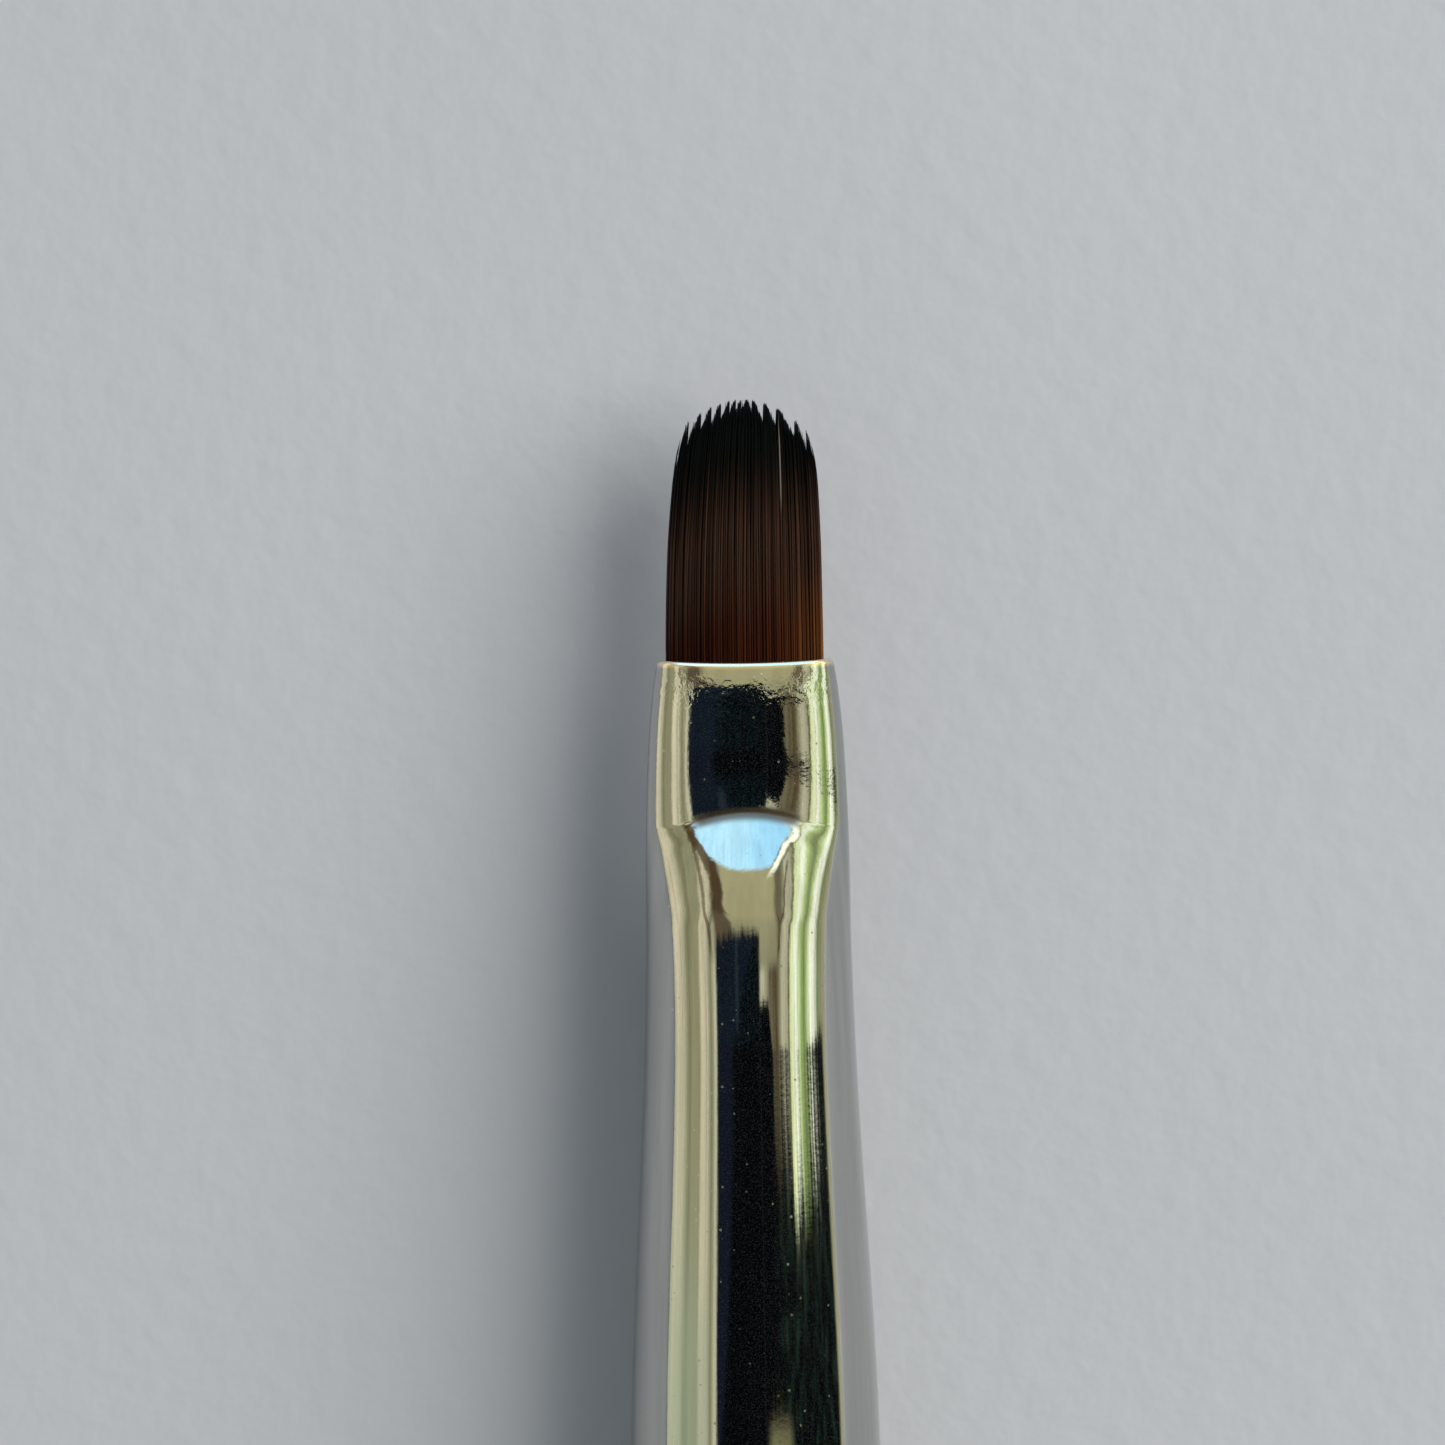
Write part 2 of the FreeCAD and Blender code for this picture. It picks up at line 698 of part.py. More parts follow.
def lock_outline(left, right):
    """Outline of one lock between two parting lines, given as shares of the half width.

    The longest hairs are on the side nearer the middle, where the lock comes to its
    point. On its outer side the parting opens below the dome.
    """
    half_gap = size["lock_gap"] * 0.5
    outer, inner = (left, right) if abs(left) > abs(right) else (right, left)
    lean = 1 if inner > outer else -1
    base, top = size["hair_wide"], size["dome_wide"]
    outermost = abs(outer) == 1
    outwards = half_gap - size["lock_spare"] if outermost else half_gap
    inner_base = base * inner - half_gap * lean
    outer_base = base * outer + outwards * lean
    inner_top = top * inner - half_gap * lean
    outer_top = top * outer + outwards * lean
    tip = dome_reach(top * inner)
    shoulder = dome_reach(top * outer) - size["notch"]
    return [
        (inner_base, ZERO),
        (outer_base, ZERO),
        (outer_top, shoulder),
        (inner_top, tip),
    ]


def make_hair_lock(index, left, right, envelope):
    """One lock of the tuft: a leaning blade of the envelope that ends in a point."""
    label = "hair_lock_%02d" % index
    blade = body_named(label + "_blade")
    outline = polygon_sketch(blade, label + "_outline", lock_outline(left, right))
    pad = feature(blade, "Pad", label + "_pad", outline, Midplane=True)
    pad.setExpression("Length", size["stock_wide"].text)
    lock = boolean("Common", label, envelope, blade)
    lock.Label = label
    return lay_along_y(lock)


def make_hair_locks():
    envelope = make_tuft_envelope()
    locks, left = [], -1.0
    for index, share in enumerate(LOCK_SHARES, start=1):
        right = min(left + share, 1.0)
        locks.append(make_hair_lock(index, round(left, 4), round(right, 4), envelope))
        left = right
    return locks


# Export ----------------------------------------------------------------------------------


def check_and_export(sub_parts):
    """Stops on anything failed or invalid, then writes one STEP file per sub-part."""
    doc.recompute()
    for obj in doc.Objects:
        if "Invalid" in obj.State or "Error" in obj.State:
            raise RuntimeError("%s failed: %s" % (obj.Name, obj.State))
    for part in sub_parts:
        shape = part.Shape
        if shape.isNull() or not shape.isValid() or not shape.Solids:
            raise RuntimeError("%s has no valid solid" % part.Label)
    os.makedirs("parts", exist_ok=True)
    for part in sub_parts:
        part.Shape.exportStep("parts/%s.step" % part.Label)
        box = part.Shape.optimalBoundingBox()
        print(
            "%-16s %8.3f mm3  x %.2f..%.2f  y %.2f..%.2f  z %.2f..%.2f  %d solid"
            % (
                part.Label, part.Shape.Volume, box.XMin, box.XMax, box.YMin, box.YMax,
                box.ZMin, box.ZMax, len(part.Shape.Solids),
            )
        )


SUB_PARTS = [
    make_ferrule(),
    make_handle(),
    make_handle_glue(),
    make_hair_root(),
    make_binding_thread(),
    make_resin_plug(),
]
SUB_PARTS += make_hair_locks()
check_and_export(SUB_PARTS)
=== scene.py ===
"""Looks of the filbert detail brush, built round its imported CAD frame. Metres, +Z up.

The brush lies along +Y with its flat face up. A place on it is given in millimetres by
`place(x, up, depth)`: across the brush, above its axis, and behind the ferrule's mouth.
The hair is in front of the mouth, so its depths are negative and its "reach" is -depth.
"""

import math
import random

import bpy
import numpy as np
from mathutils import Matrix, Vector, noise


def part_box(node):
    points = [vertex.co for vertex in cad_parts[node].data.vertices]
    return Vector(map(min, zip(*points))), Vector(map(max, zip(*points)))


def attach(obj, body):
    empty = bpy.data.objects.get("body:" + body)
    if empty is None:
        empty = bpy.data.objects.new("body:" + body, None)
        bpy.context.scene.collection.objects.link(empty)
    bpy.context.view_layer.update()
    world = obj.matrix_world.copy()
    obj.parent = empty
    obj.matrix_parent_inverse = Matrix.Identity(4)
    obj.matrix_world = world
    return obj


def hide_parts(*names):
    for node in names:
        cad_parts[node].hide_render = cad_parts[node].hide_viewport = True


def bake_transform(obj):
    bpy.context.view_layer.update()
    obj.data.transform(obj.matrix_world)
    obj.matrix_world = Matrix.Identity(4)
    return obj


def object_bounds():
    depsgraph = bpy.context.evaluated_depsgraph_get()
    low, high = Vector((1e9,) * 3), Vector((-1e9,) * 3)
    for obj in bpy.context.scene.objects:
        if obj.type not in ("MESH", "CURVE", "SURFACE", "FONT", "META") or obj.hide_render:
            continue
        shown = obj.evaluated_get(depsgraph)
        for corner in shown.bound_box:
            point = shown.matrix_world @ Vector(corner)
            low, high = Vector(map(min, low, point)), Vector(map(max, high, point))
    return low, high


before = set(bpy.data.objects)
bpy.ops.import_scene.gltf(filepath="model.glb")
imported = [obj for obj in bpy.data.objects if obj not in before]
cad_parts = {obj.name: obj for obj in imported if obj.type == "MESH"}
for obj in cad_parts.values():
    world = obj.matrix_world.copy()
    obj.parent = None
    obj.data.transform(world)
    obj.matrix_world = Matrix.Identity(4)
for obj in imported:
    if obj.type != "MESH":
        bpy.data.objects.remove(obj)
CAD_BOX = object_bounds()

MM = 0.001
FERRULE_LOW, FERRULE_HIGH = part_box("ferrule")
HANDLE_LOW, HANDLE_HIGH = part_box("handle")
MOUTH_Y = FERRULE_HIGH.y
AXIS_Z = (FERRULE_LOW.z + FERRULE_HIGH.z) / 2
FERRULE_LENGTH = (FERRULE_HIGH.y - FERRULE_LOW.y) / MM
HANDLE_END_DEPTH = (MOUTH_Y - HANDLE_LOW.y) / MM
HAIR_REACH = (CAD_BOX[1].y - MOUTH_Y) / MM
LOCK_COUNT = sum(1 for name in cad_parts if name.startswith("hair_lock_"))

# Ferrule: depth behind the mouth, half width, half thickness. It stays within 0.12 mm of the
# CAD's ferrule, with more sections behind the crease, where the sheet turns most.
FERRULE_SECTIONS = [
    (0.0, 2.67, 1.05),
    (0.9, 2.81, 1.23),
    (2.5, 2.96, 1.33),
    (5.0, 3.07, 1.465),
    (5.2, 3.075, 1.555),
    (5.8, 3.09, 1.885),
    (6.6, 3.10, 2.235),
    (7.35, 3.105, 2.515),
    (8.05, 3.11, 2.755),
    (9.6, 3.14, 3.02),
    (11.8, 3.21, 3.21),
    (25.5, 3.80, 3.80),
    (34.5, 3.80, 3.80),
]
WALL = 0.25
HALF_WALL = WALL / 2
CRIMP_DEPTHS = [31.6, 33.2]
CRIMP_ROLLER = 0.45
CRIMP_STANDOFF = 0.15
CONE_FRONT, CONE_RADIUS = 11.8, 3.21
COLLAR_START, COLLAR_RADIUS = 25.5, 3.80

# The lip is drawn back a little, and the crease bows towards it, in the middle of both faces.
LIP_SAG, LIP_SAG_END = 0.09, 1.2
CREASE_DEPTH, CREASE_BOW, BOW_SPREAD = 5.0, 0.40, 0.75

# Stretches of mesh rows: start, end, spacing.
FERRULE_AROUND = 256
EDGE_ROWS = 9
OUTER_ROWS = [
    (HALF_WALL, 2.0, 0.045), (2.0, 4.3, 0.08), (4.3, 5.2, 0.02), (5.2, 6.8, 0.05),
    (6.8, 12.0, 0.12), (12.0, 25.2, 0.6), (25.2, 25.8, 0.1), (25.8, 31.0, 0.5),
    (31.0, 33.8, 0.04), (33.8, FERRULE_LENGTH - HALF_WALL, 0.1),
]
INNER_ROWS = [
    (FERRULE_LENGTH - HALF_WALL, 33.8, 0.3), (33.8, 31.0, 0.12), (31.0, 12.0, 2.0),
    (12.0, 4.0, 0.4), (4.0, HALF_WALL, 0.4),
]

# Handle: its tenon is glued in the ferrule, and the rest is turned in one sweep.
FIT_GAP = 0.02
GLUE_FILM = 0.1
TENON_DEPTH, TENON_CHAMFER = 20.0, 0.4
HEEL_DEPTH, HEEL_RADIUS, HEEL_ROUND = FERRULE_LENGTH + FIT_GAP, 3.78, 0.25
GRIP_DEPTH, GRIP_RADIUS = 50.0, (HANDLE_HIGH.z - HANDLE_LOW.z) / (2 * MM)
SWEEP_DEPTH, SWEEP_RADIUS = 80.0, 900.0
TAIL_DEPTH = 174.3
TAIL_RADIUS = HANDLE_END_DEPTH - TAIL_DEPTH
DIP_DEPTH, DIP_FILM, DIP_EDGE = 154.0, 0.04, 0.15
HANDLE_AROUND = 96
TAIL_ROWS = 14
TENON_ROWS = [
    (TENON_DEPTH, TENON_DEPTH + 1, 0.1), (TENON_DEPTH + 1, 30.8, 1.4), (30.8, 34.0, 0.05),
    (34.0, HEEL_DEPTH - 0.001, 0.2),
]
SHAFT_ROWS = [
    (HEEL_DEPTH, HEEL_DEPTH + 0.3, 0.02), (HEEL_DEPTH + 0.3, 60, 0.8),
    (60, DIP_DEPTH - 4, 1.5), (DIP_DEPTH - 4, DIP_DEPTH + 4, 0.1),
    (DIP_DEPTH + 4, TAIL_DEPTH, 0.7),
]

# Hair: reach in front of the mouth, half width, half thickness.
HAIR_SECTIONS = [
    (-1.5, 2.385, 0.77),
    (0.0, 2.385, 0.78),
    (2.8, 2.335, 0.75),
    (5.2, 2.20, 0.54),
    (7.9, 1.90, 0.13),
]
LOCK_SHARES = [0.13, 0.17, 0.16, 0.13, 0.14, 0.18, 0.17, 0.18, 0.20, 0.28, 0.16, 0.10]
LOCK_POINTS = [1, 1, 1, 1, 1, 2, 2, 1, 1, 1, 1, 1]
FILAMENT, FILAMENT_SPACING = 0.062, 0.062 * 1.04
ROW_RISE = 0.866
PLACE_JITTER, ROW_JITTER = 0.22, 0.16
DOME_FALL, DOME_PEAK, DOME_WIDE = 0.25, -0.15, 2.0
NOTCH = 0.45
LEAN = 0.17
STRAND_ROOT = -0.9
# Across the tuft, the slit where one filament is painted pale: a painted highlight along the slit.
SLIT_SHARE = 0.47
STRAND_SIDES = 6
STRAND_STEPS, STEP_CROWDING = 16, 0.8
STRAND_MARKS = ["shade", "side", "pale"]
BEND_SHARE = 0.42

# Filaments of a lock, in millimetres or shares: how their lengths fall off from the lock's
# point and differ, where they close up to that point, and how they wander and taper.
SHOULDER_CURVE, LENGTH_SPREAD, CORE_SHORTER = 1.9, 0.10, 0.12
CLOSE_UP_FROM, CLOSE_UP_TO = -1.1, 0.2
POINT_WIDE, POINT_FLAT = 0.60, 0.3
WANDER, WANDER_REACH = 0.018, (0.5, 6.0)
TIP_TAPER, TIP_PART, TIP_CURVE = 0.85, (0.80, 1.0), 1.3
THICKNESS_RANGE = (0.92, 1.06)
# Random spread of where each filament's dark tip starts, and painted shade that starts it nearer
# the root on the left of the tuft, away from the window light.
DARK_START_SPREAD, PAINTED_SHADE_AT_LEFT = 0.035, 0.11

# Hair roots, from the flat mouth to the round bundle that the thread ties.
ROOT_START, ROOT_END, ROOT_STEPS = 0.7, 10.3, 14
ROOT_GATHER = (1.0, 7.3)
ROOT_WIDE, ROOT_HIGH, ROOT_BUNDLE = 2.3, 0.74, 1.46
ROOT_SPACING, ROOT_RADIUS, ROOT_FILL = 0.16, 0.07, 0.9

random.seed(4)


# Curves and meshes -----------------------------------------------------------------------


def smooth_curve(stations, column):
    """Monotone cubic through stations (position first), as a function of position."""
    xs = np.array([s[0] for s in stations], float)
    ys = np.array([s[column] for s in stations], float)
    gaps = np.diff(xs)
    slopes = np.diff(ys) / gaps
    tangents = np.zeros(len(xs))
    tangents[0], tangents[-1] = slopes[0], slopes[-1]
    for i in range(1, len(xs) - 1):
        before, after = slopes[i - 1], slopes[i]
        if before * after > 0:
            tangents[i] = 2 * before * after / (before + after)

    def at(x):
        x = np.clip(x, xs[0], xs[-1])
        i = np.clip(np.searchsorted(xs, x) - 1, 0, len(gaps) - 1)
        t = (x - xs[i]) / gaps[i]
        return (
            (2 * t**3 - 3 * t**2 + 1) * ys[i]
            + (t**3 - 2 * t**2 + t) * gaps[i] * tangents[i]
            + (3 * t**2 - 2 * t**3) * ys[i + 1]
            + (t**3 - t**2) * gaps[i] * tangents[i + 1]
        )

    return at


def place(x, up, depth):
    """Row-frame position, in metres, of bench coordinates in millimetres."""
    x, up, depth = np.broadcast_arrays(x, up, depth)
    return np.stack([x * MM, MOUTH_Y - depth * MM, AXIS_Z + up * MM], axis=-1)


def smoothstep(low, high, value):
    """Smooth change from 0 at low to 1 at high."""
    t = np.clip((value - low) / (high - low), 0, 1)
    return t * t * (3 - 2 * t)


def hill(rise, fall, value):
    """Smooth hill: up from 0 to 1 over `rise`, down again over `fall`."""
    return smoothstep(*rise, value) * (1 - smoothstep(*fall, value))


def rows(stretches):
    """Depths of mesh rows: each stretch is (start, end, spacing), joined without repeats."""
    found = []
    for start, end, spacing in stretches:
        count = max(2, int(round(abs(end - start) / spacing)) + 1)
        found.append(np.linspace(start, end, count)[0 if not found else 1 :])
    return np.concatenate(found)


def mesh_object(name, vertices, faces, smooth=True):
    mesh = bpy.data.meshes.new(name)
    mesh.from_pydata(vertices.reshape(-1, 3).tolist(), [], faces)
    mesh.validate()
    if smooth:
        mesh.shade_smooth()
    made = bpy.data.objects.new(name, mesh)
    bpy.context.scene.collection.objects.link(made)
    return made


def ring_faces(rings, around, first=0, closed=False):
    """Quads that join a stack of rings of vertices, in order, facing outwards."""
    faces = []
    for i in range(rings if closed else rings - 1):
        low = first + i * around
        high = first + ((i + 1) % rings) * around
        for j in range(around):
            k = (j + 1) % around
            faces.append((low + j, low + k, high + k, high + j))
    return faces


def add_attribute(made, name, values):
    attribute = made.data.attributes.new(name, "FLOAT", "POINT")
    attribute.data.foreach_set("value", np.asarray(values, np.float32).ravel())


def dress(made, material):
    made.data.materials.clear()
    made.data.materials.append(material)


# Material nodes --------------------------------------------------------------------------


class Nodes:
    """Short hand for building a node tree: most methods return an output socket."""

    def __init__(self, tree):
        self.tree = tree
        tree.nodes.clear()

    def node(self, kind, inputs=(), **settings):
        """A new node, with each input set to a value or linked to a socket."""
        made = self.tree.nodes.new(kind)
        for key, value in settings.items():
            setattr(made, key, value)
        for key, value in dict(inputs).items():
            if isinstance(value, bpy.types.NodeSocket):
                self.tree.links.new(value, made.inputs[key])
            else:
                made.inputs[key].default_value = value
        return made

    def add(self, kind, inputs=(), output=0, **settings):
        return self.node(kind, inputs, **settings).outputs[output]

    def math(self, operation, first, second=0.0):
        return self.add("ShaderNodeMath", {0: first, 1: second}, operation=operation)

    def times(self, first, *others):
        for other in others:
            first = self.math("MULTIPLY", first, other)
        return first

    def plus(self, first, second):
        return self.math("ADD", first, second)

    def line(self, value, slope, offset):
        return self.add(
            "ShaderNodeMath", {0: value, 1: slope, 2: offset}, operation="MULTIPLY_ADD"
        )

    def ramp(self, value, low, high, start=0.0, end=1.0):
        """Smooth change from start to end while value goes from low to high."""
        return self.add(
            "ShaderNodeMapRange",
            {0: value, 1: low, 2: high, 3: start, 4: end},
            interpolation_type="SMOOTHSTEP",
        )

    def band(self, value, low, high, soft):
        """1 while value is between low and high, with edges `soft` wide on each side."""
        rise = self.ramp(value, low - soft, low + soft)
        fall = self.ramp(value, high - soft, high + soft, 1.0, 0.0)
        return self.times(rise, fall)

    def colours(self, value, stops):
        """Colour at value, blended between (position, colour) stops."""
        low, high = stops[0][0], stops[-1][0]
        share = self.add("ShaderNodeMapRange", {0: value, 1: low, 2: high})
        found = self.node("ShaderNodeValToRGB", {0: share})
        elements = found.color_ramp.elements
        elements[0].color, elements[1].color = stops[0][1], stops[-1][1]
        for position, tone in stops[1:-1]:
            elements.new((position - low) / (high - low)).color = tone
        return found.outputs[0]

    def mix(self, share, first, second):
        """Colour mix, from first at share 0 to second at share 1."""
        return self.add(
            "ShaderNodeMix", {0: share, 6: first, 7: second}, output=2, data_type="RGBA"
        )

    def noise(self, vector, scale, detail=2.0):
        return self.add(
            "ShaderNodeTexNoise", {"Vector": vector, "Scale": scale, "Detail": detail}
        )

    def stretched(self, vector, across, along):
        """Coordinates scaled by `along` in Y and by `across` in X and Z."""
        scale = (across, along, across)
        return self.add(
            "ShaderNodeMapping", {"Vector": vector, "Scale": scale}, vector_type="POINT"
        )

    def object_place(self):
        return self.add("ShaderNodeTexCoord", output="Object")

    def attribute(self, name):
        return self.add("ShaderNodeAttribute", output="Fac", attribute_name=name)

    def bump(self, height, strength, distance, normal=None):
        inputs = {"Height": height, "Strength": strength, "Distance": distance}
        if normal is not None:
            inputs["Normal"] = normal
        return self.add("ShaderNodeBump", inputs)

    def surface(self, inputs):
        """Finish the tree with a Principled BSDF that has these inputs."""
        shader = self.add("ShaderNodeBsdfPrincipled", inputs)
        self.node("ShaderNodeOutputMaterial", {"Surface": shader})


def colour(red, green, blue):
    """An 8-bit sRGB colour as linear RGBA."""

    def linear(value):
        value /= 255
        return value / 12.92 if value <= 0.04045 else ((value + 0.055) / 1.055) ** 2.4

    return (linear(red), linear(green), linear(blue), 1.0)


def new_material(name):
    material = bpy.data.materials.new(name)
    material.use_nodes = True
    return material, Nodes(material.node_tree)


def specks(n, here):
    """Scattered specks of dirt, about 0.1 mm across, as a share from 0 to 1."""
    cells = n.node("ShaderNodeTexVoronoi", {"Vector": here, "Scale": 2600.0})
    chosen = n.ramp(n.add("ShaderNodeSeparateColor", {0: cells.outputs["Color"]}), 0.42, 0.46)
    near = n.ramp(cells.outputs["Distance"], 0.05, 0.15, 1.0, 0.0)
    return n.times(chosen, near)


def nickel():
    """Bright plate: drawing lines along the tube, orange peel where it was pressed, specks."""
    material, n = new_material("nickel_plate")
    here = n.object_place()
    pressed, worn, edge = (n.attribute(name) for name in ("pressed", "worn", "edge"))
    lines = n.noise(n.stretched(here, 14000, 150), 1.0, 3.0)
    broad = n.noise(n.stretched(here, 2200, 50), 1.0, 2.0)
    peel = n.times(n.noise(here, 6500, 2.0), pressed)
    normal = n.bump(lines, 0.25, 0.0000012)
    normal = n.bump(broad, 0.25, 0.000004, normal)
    normal = n.bump(peel, 1.0, 0.000016, normal)

    rough = n.plus(n.ramp(lines, 0.35, 0.75, 0.03, 0.06), n.times(specks(n, here), 0.35))
    rough = n.plus(rough, n.times(worn, 0.34))
    rough = n.plus(rough, n.times(edge, 0.18))
    tint = n.mix(n.ramp(broad, 0.3, 0.7), colour(176, 176, 173), colour(187, 187, 184))
    tint = n.mix(n.ramp(worn, 0.05, 0.95), tint, colour(112, 98, 92))
    tint = n.mix(edge, tint, colour(242, 226, 202))
    dust = n.ramp(n.noise(here, 24000, 1.0), 0.45, 0.80, 1.0, 0.955)
    n.surface({"Base Color": tint, "Metallic": dust, "Roughness": rough, "Normal": normal})
    return material


def hair():
    """Brown filament, nearly black towards the tip, each one a little different, with painted
    light and shade.
    """
    material, n = new_material("brown_filament")
    along, shade, side = (n.attribute(name) for name in ("along", "shade", "side"))
    # Painted light and shade: the root tones run from dark on the left of the tuft (side -1) to
    # light on the right (side 1), where the window light falls.
    dark_root_painted_light = n.colours(
        side, [(-1.0, colour(26, 5, 1)), (0.4, colour(40, 13, 5)), (1.0, colour(62, 32, 12))]
    )
    bright_root_painted_light = n.colours(
        side, [(-1.0, colour(54, 19, 8)), (0.4, colour(76, 38, 19)), (1.0, colour(124, 78, 40))]
    )
    root = n.mix(shade, dark_root_painted_light, bright_root_painted_light)
    middle = n.mix(shade, colour(34, 18, 11), colour(71, 48, 35))
    tip = n.mix(shade, colour(1, 2, 3), colour(8, 10, 11))
    brown = n.mix(n.ramp(along, 0.05, 0.42), root, middle)
    tone = n.mix(n.ramp(along, 0.46, 0.80), brown, tip)
    # Painted highlight: one filament by the slit between locks is painted pale grey, as a streak
    # of light along the slit.
    pale = n.times(n.attribute("pale"), n.band(along, 0.58, 0.90, 0.06))
    tone = n.mix(pale, tone, colour(120, 112, 98))
    shine = n.ramp(n.band(along, 0.2, 0.55, 0.12), 0.0, 1.0, 0.09, 0.19)
    n.surface({"Base Color": tone, "Roughness": 0.42, "IOR": 1.5, "Specular IOR Level": shine})
    return material


def lacquered_wood():
    """Clear-lacquered pale hardwood with fine straight grain; the tail dipped dark."""
    material, n = new_material("lacquered_hardwood")
    here = n.object_place()
    dipped = n.attribute("dipped")
    grain = n.noise(n.stretched(here, 900, 26), 1.0, 4.0)
    pores = n.noise(n.stretched(here, 4200, 90), 1.0, 2.0)
    wood = n.mix(n.ramp(grain, 0.32, 0.68), colour(198, 152, 98), colour(166, 116, 68))
    wood = n.mix(n.ramp(pores, 0.60, 0.72), wood, colour(122, 80, 44))
    tone = n.mix(dipped, wood, colour(20, 17, 16))
    ripple = n.noise(n.stretched(here, 300, 60), 1.0, 2.0)
    normal = n.bump(pores, n.line(dipped, -0.2, 0.22), 0.00002)
    normal = n.bump(ripple, 0.25, 0.00006, normal)
    n.surface({
        "Base Color": tone,
        "Roughness": 0.38,
        "Normal": normal,
        "Coat Weight": n.ramp(dipped, 0.0, 1.0, 0.9, 0.3),
        "Coat Roughness": 0.07,
    })
    return material


def amber_resin():
    material, n = new_material("amber_resin")
    cloud = n.noise(n.object_place(), 900, 3.0)
    tone = n.mix(n.ramp(cloud, 0.35, 0.65), colour(176, 122, 52), colour(140, 88, 32))
    n.surface({
        "Base Color": tone,
        "Roughness": 0.22,
        "Transmission Weight": 0.35,
        "Normal": n.bump(cloud, 0.2, 0.00003),
    })
    return material


def dry_glue():
    material, n = new_material("dry_wood_glue")
    smear = n.noise(n.stretched(n.object_place(), 1200, 300), 1.0, 3.0)
    tone = n.mix(n.ramp(smear, 0.3, 0.7), colour(226, 208, 160), colour(198, 174, 120))
    n.surface({"Base Color": tone, "Roughness": 0.5, "Normal": n.bump(smear, 0.4, 0.00003)})
    return material


def waxed_thread():
    material, n = new_material("waxed_thread")
    twist = n.add(
        "ShaderNodeTexWave",
        {"Vector": n.object_place(), "Scale": 4200.0, "Distortion": 2.0, "Detail": 2.0},
        output="Fac",
        bands_direction="DIAGONAL",
    )
    tone = n.mix(twist, colour(226, 220, 204), colour(188, 178, 156))
    n.surface({"Base Color": tone, "Roughness": 0.7, "Normal": n.bump(twist, 0.6, 0.00002)})
    return material


def pale_surface():
    """Matt pale grey board with a faint orange-peel surface."""
    material, n = new_material("pale_board")
    here = n.object_place()
    cloud = n.noise(here, 28, 2.0)
    peel = n.noise(here, 900, 2.0)
    grit = n.noise(here, 4000, 2.0)
    tone = n.mix(n.ramp(cloud, 0.3, 0.7), colour(202, 206, 208), colour(205, 209, 211))
    normal = n.bump(grit, 0.14, 0.00002, n.bump(peel, 0.35, 0.00016))
    n.surface({
        "Base Color": tone,
        "Roughness": 0.7,
        "Specular IOR Level": 0.15,
        "Normal": normal,
    })
    return material


# Ferrule ---------------------------------------------------------------------------------

FERRULE_WIDE = smooth_curve(FERRULE_SECTIONS, 1)
FERRULE_HIGH_AT = smooth_curve(FERRULE_SECTIONS, 2)


def crimp_cut(depth):
    """How far the two rolled crimps press the collar in at a depth."""
    cut = np.zeros_like(depth)
    for centre in CRIMP_DEPTHS:
        inside = np.clip(CRIMP_ROLLER**2 - (depth - centre) ** 2, 0, None)
        cut = np.maximum(cut, np.sqrt(inside) - CRIMP_STANDOFF)
    return np.clip(cut, 0, None)


def crease_bow(depth, angle):
    """How far the crease behind the pressed nose bows to the lip, mid face, at a place."""
    near_crease = hill((3.2, 4.6), (5.9, 9.6), depth)
    across_face = np.clip(1 - np.cos(angle) ** 2 / BOW_SPREAD, 0, 1) ** 2
    return CREASE_BOW * near_crease * across_face


def ferrule_surface(depth, angle, inset):
    """Points of the ferrule at rows of depth, `inset` inside its outer face."""
    depth, angle = depth[:, None], angle[None, :]
    cut = crimp_cut(depth)
    wide = FERRULE_WIDE(depth) - cut - inset
    high = FERRULE_HIGH_AT(depth + crease_bow(depth, angle)) - cut - inset
    x, up = wide * np.cos(angle), high * np.sin(angle)
    depth = np.broadcast_to(depth, x.shape)
    sag = LIP_SAG * np.sin(angle) ** 2 * (1 - smoothstep(0.0, LIP_SAG_END, depth))
    return x, up, depth + sag


def pressed_share(x, depth):
    """How rough the pressing jaws left the plate: most just behind the lip."""
    behind_lip = hill((0.25, 0.6), (0.95, 1.6), depth)
    face = 0.35 + 0.65 * (1 - smoothstep(1.4, 2.3, np.abs(x)))
    nose = 1 - smoothstep(4.6, 9.0, depth)
    return 0.02 + 0.05 * nose + 0.9 * behind_lip * face


def worn_share(depth, angle):
    """How dull the plate is along the crease, where it was bent hardest."""
    behind = depth + crease_bow(depth, angle) - CREASE_DEPTH
    return hill((-0.26, 0.0), (0.04, 0.44), behind) * smoothstep(0.81, 0.91, np.abs(np.sin(angle)))


def pressed_marks(x, up, depth):
    """Small dents left by the pressing jaws, mostly just behind the lip, as a rise in up."""
    rise = np.zeros_like(x)
    near_lip = hill((0.45, 0.75), (1.0, 1.5), depth)
    face = 0.25 + 0.75 * (1 - smoothstep(1.5, 2.4, np.abs(x)))
    nose = 1 - smoothstep(5.0, 9.0, depth)
    for index in np.ndindex(x.shape):
        if nose[index] == 0:
            continue
        here = Vector((x[index], depth[index], 7.0 if up[index] > 0 else -7.0))
        ripple = noise.noise(here * 5.5) * 0.006 + noise.noise(here * 11.0) * 0.003
        swell = noise.noise(Vector((here.x * 1.6, here.y * 0.35, here.z))) * 0.005
        rise[index] = near_lip[index] * face[index] * ripple + nose[index] * swell
    return rise * np.sign(up)


def rolled_edge(centre, forward, angle):
    """Rows that turn the sheet's edge, half round, from the outer to the inner face."""
    rings = []
    for turn in np.linspace(0, math.pi, EDGE_ROWS)[1:-1]:
        inset = HALF_WALL * (1 - math.cos(turn))
        at = centre + forward * HALF_WALL * math.sin(turn)
        rings.append(place(*ferrule_surface(np.array([at]), angle, inset)))
    return np.concatenate(rings)


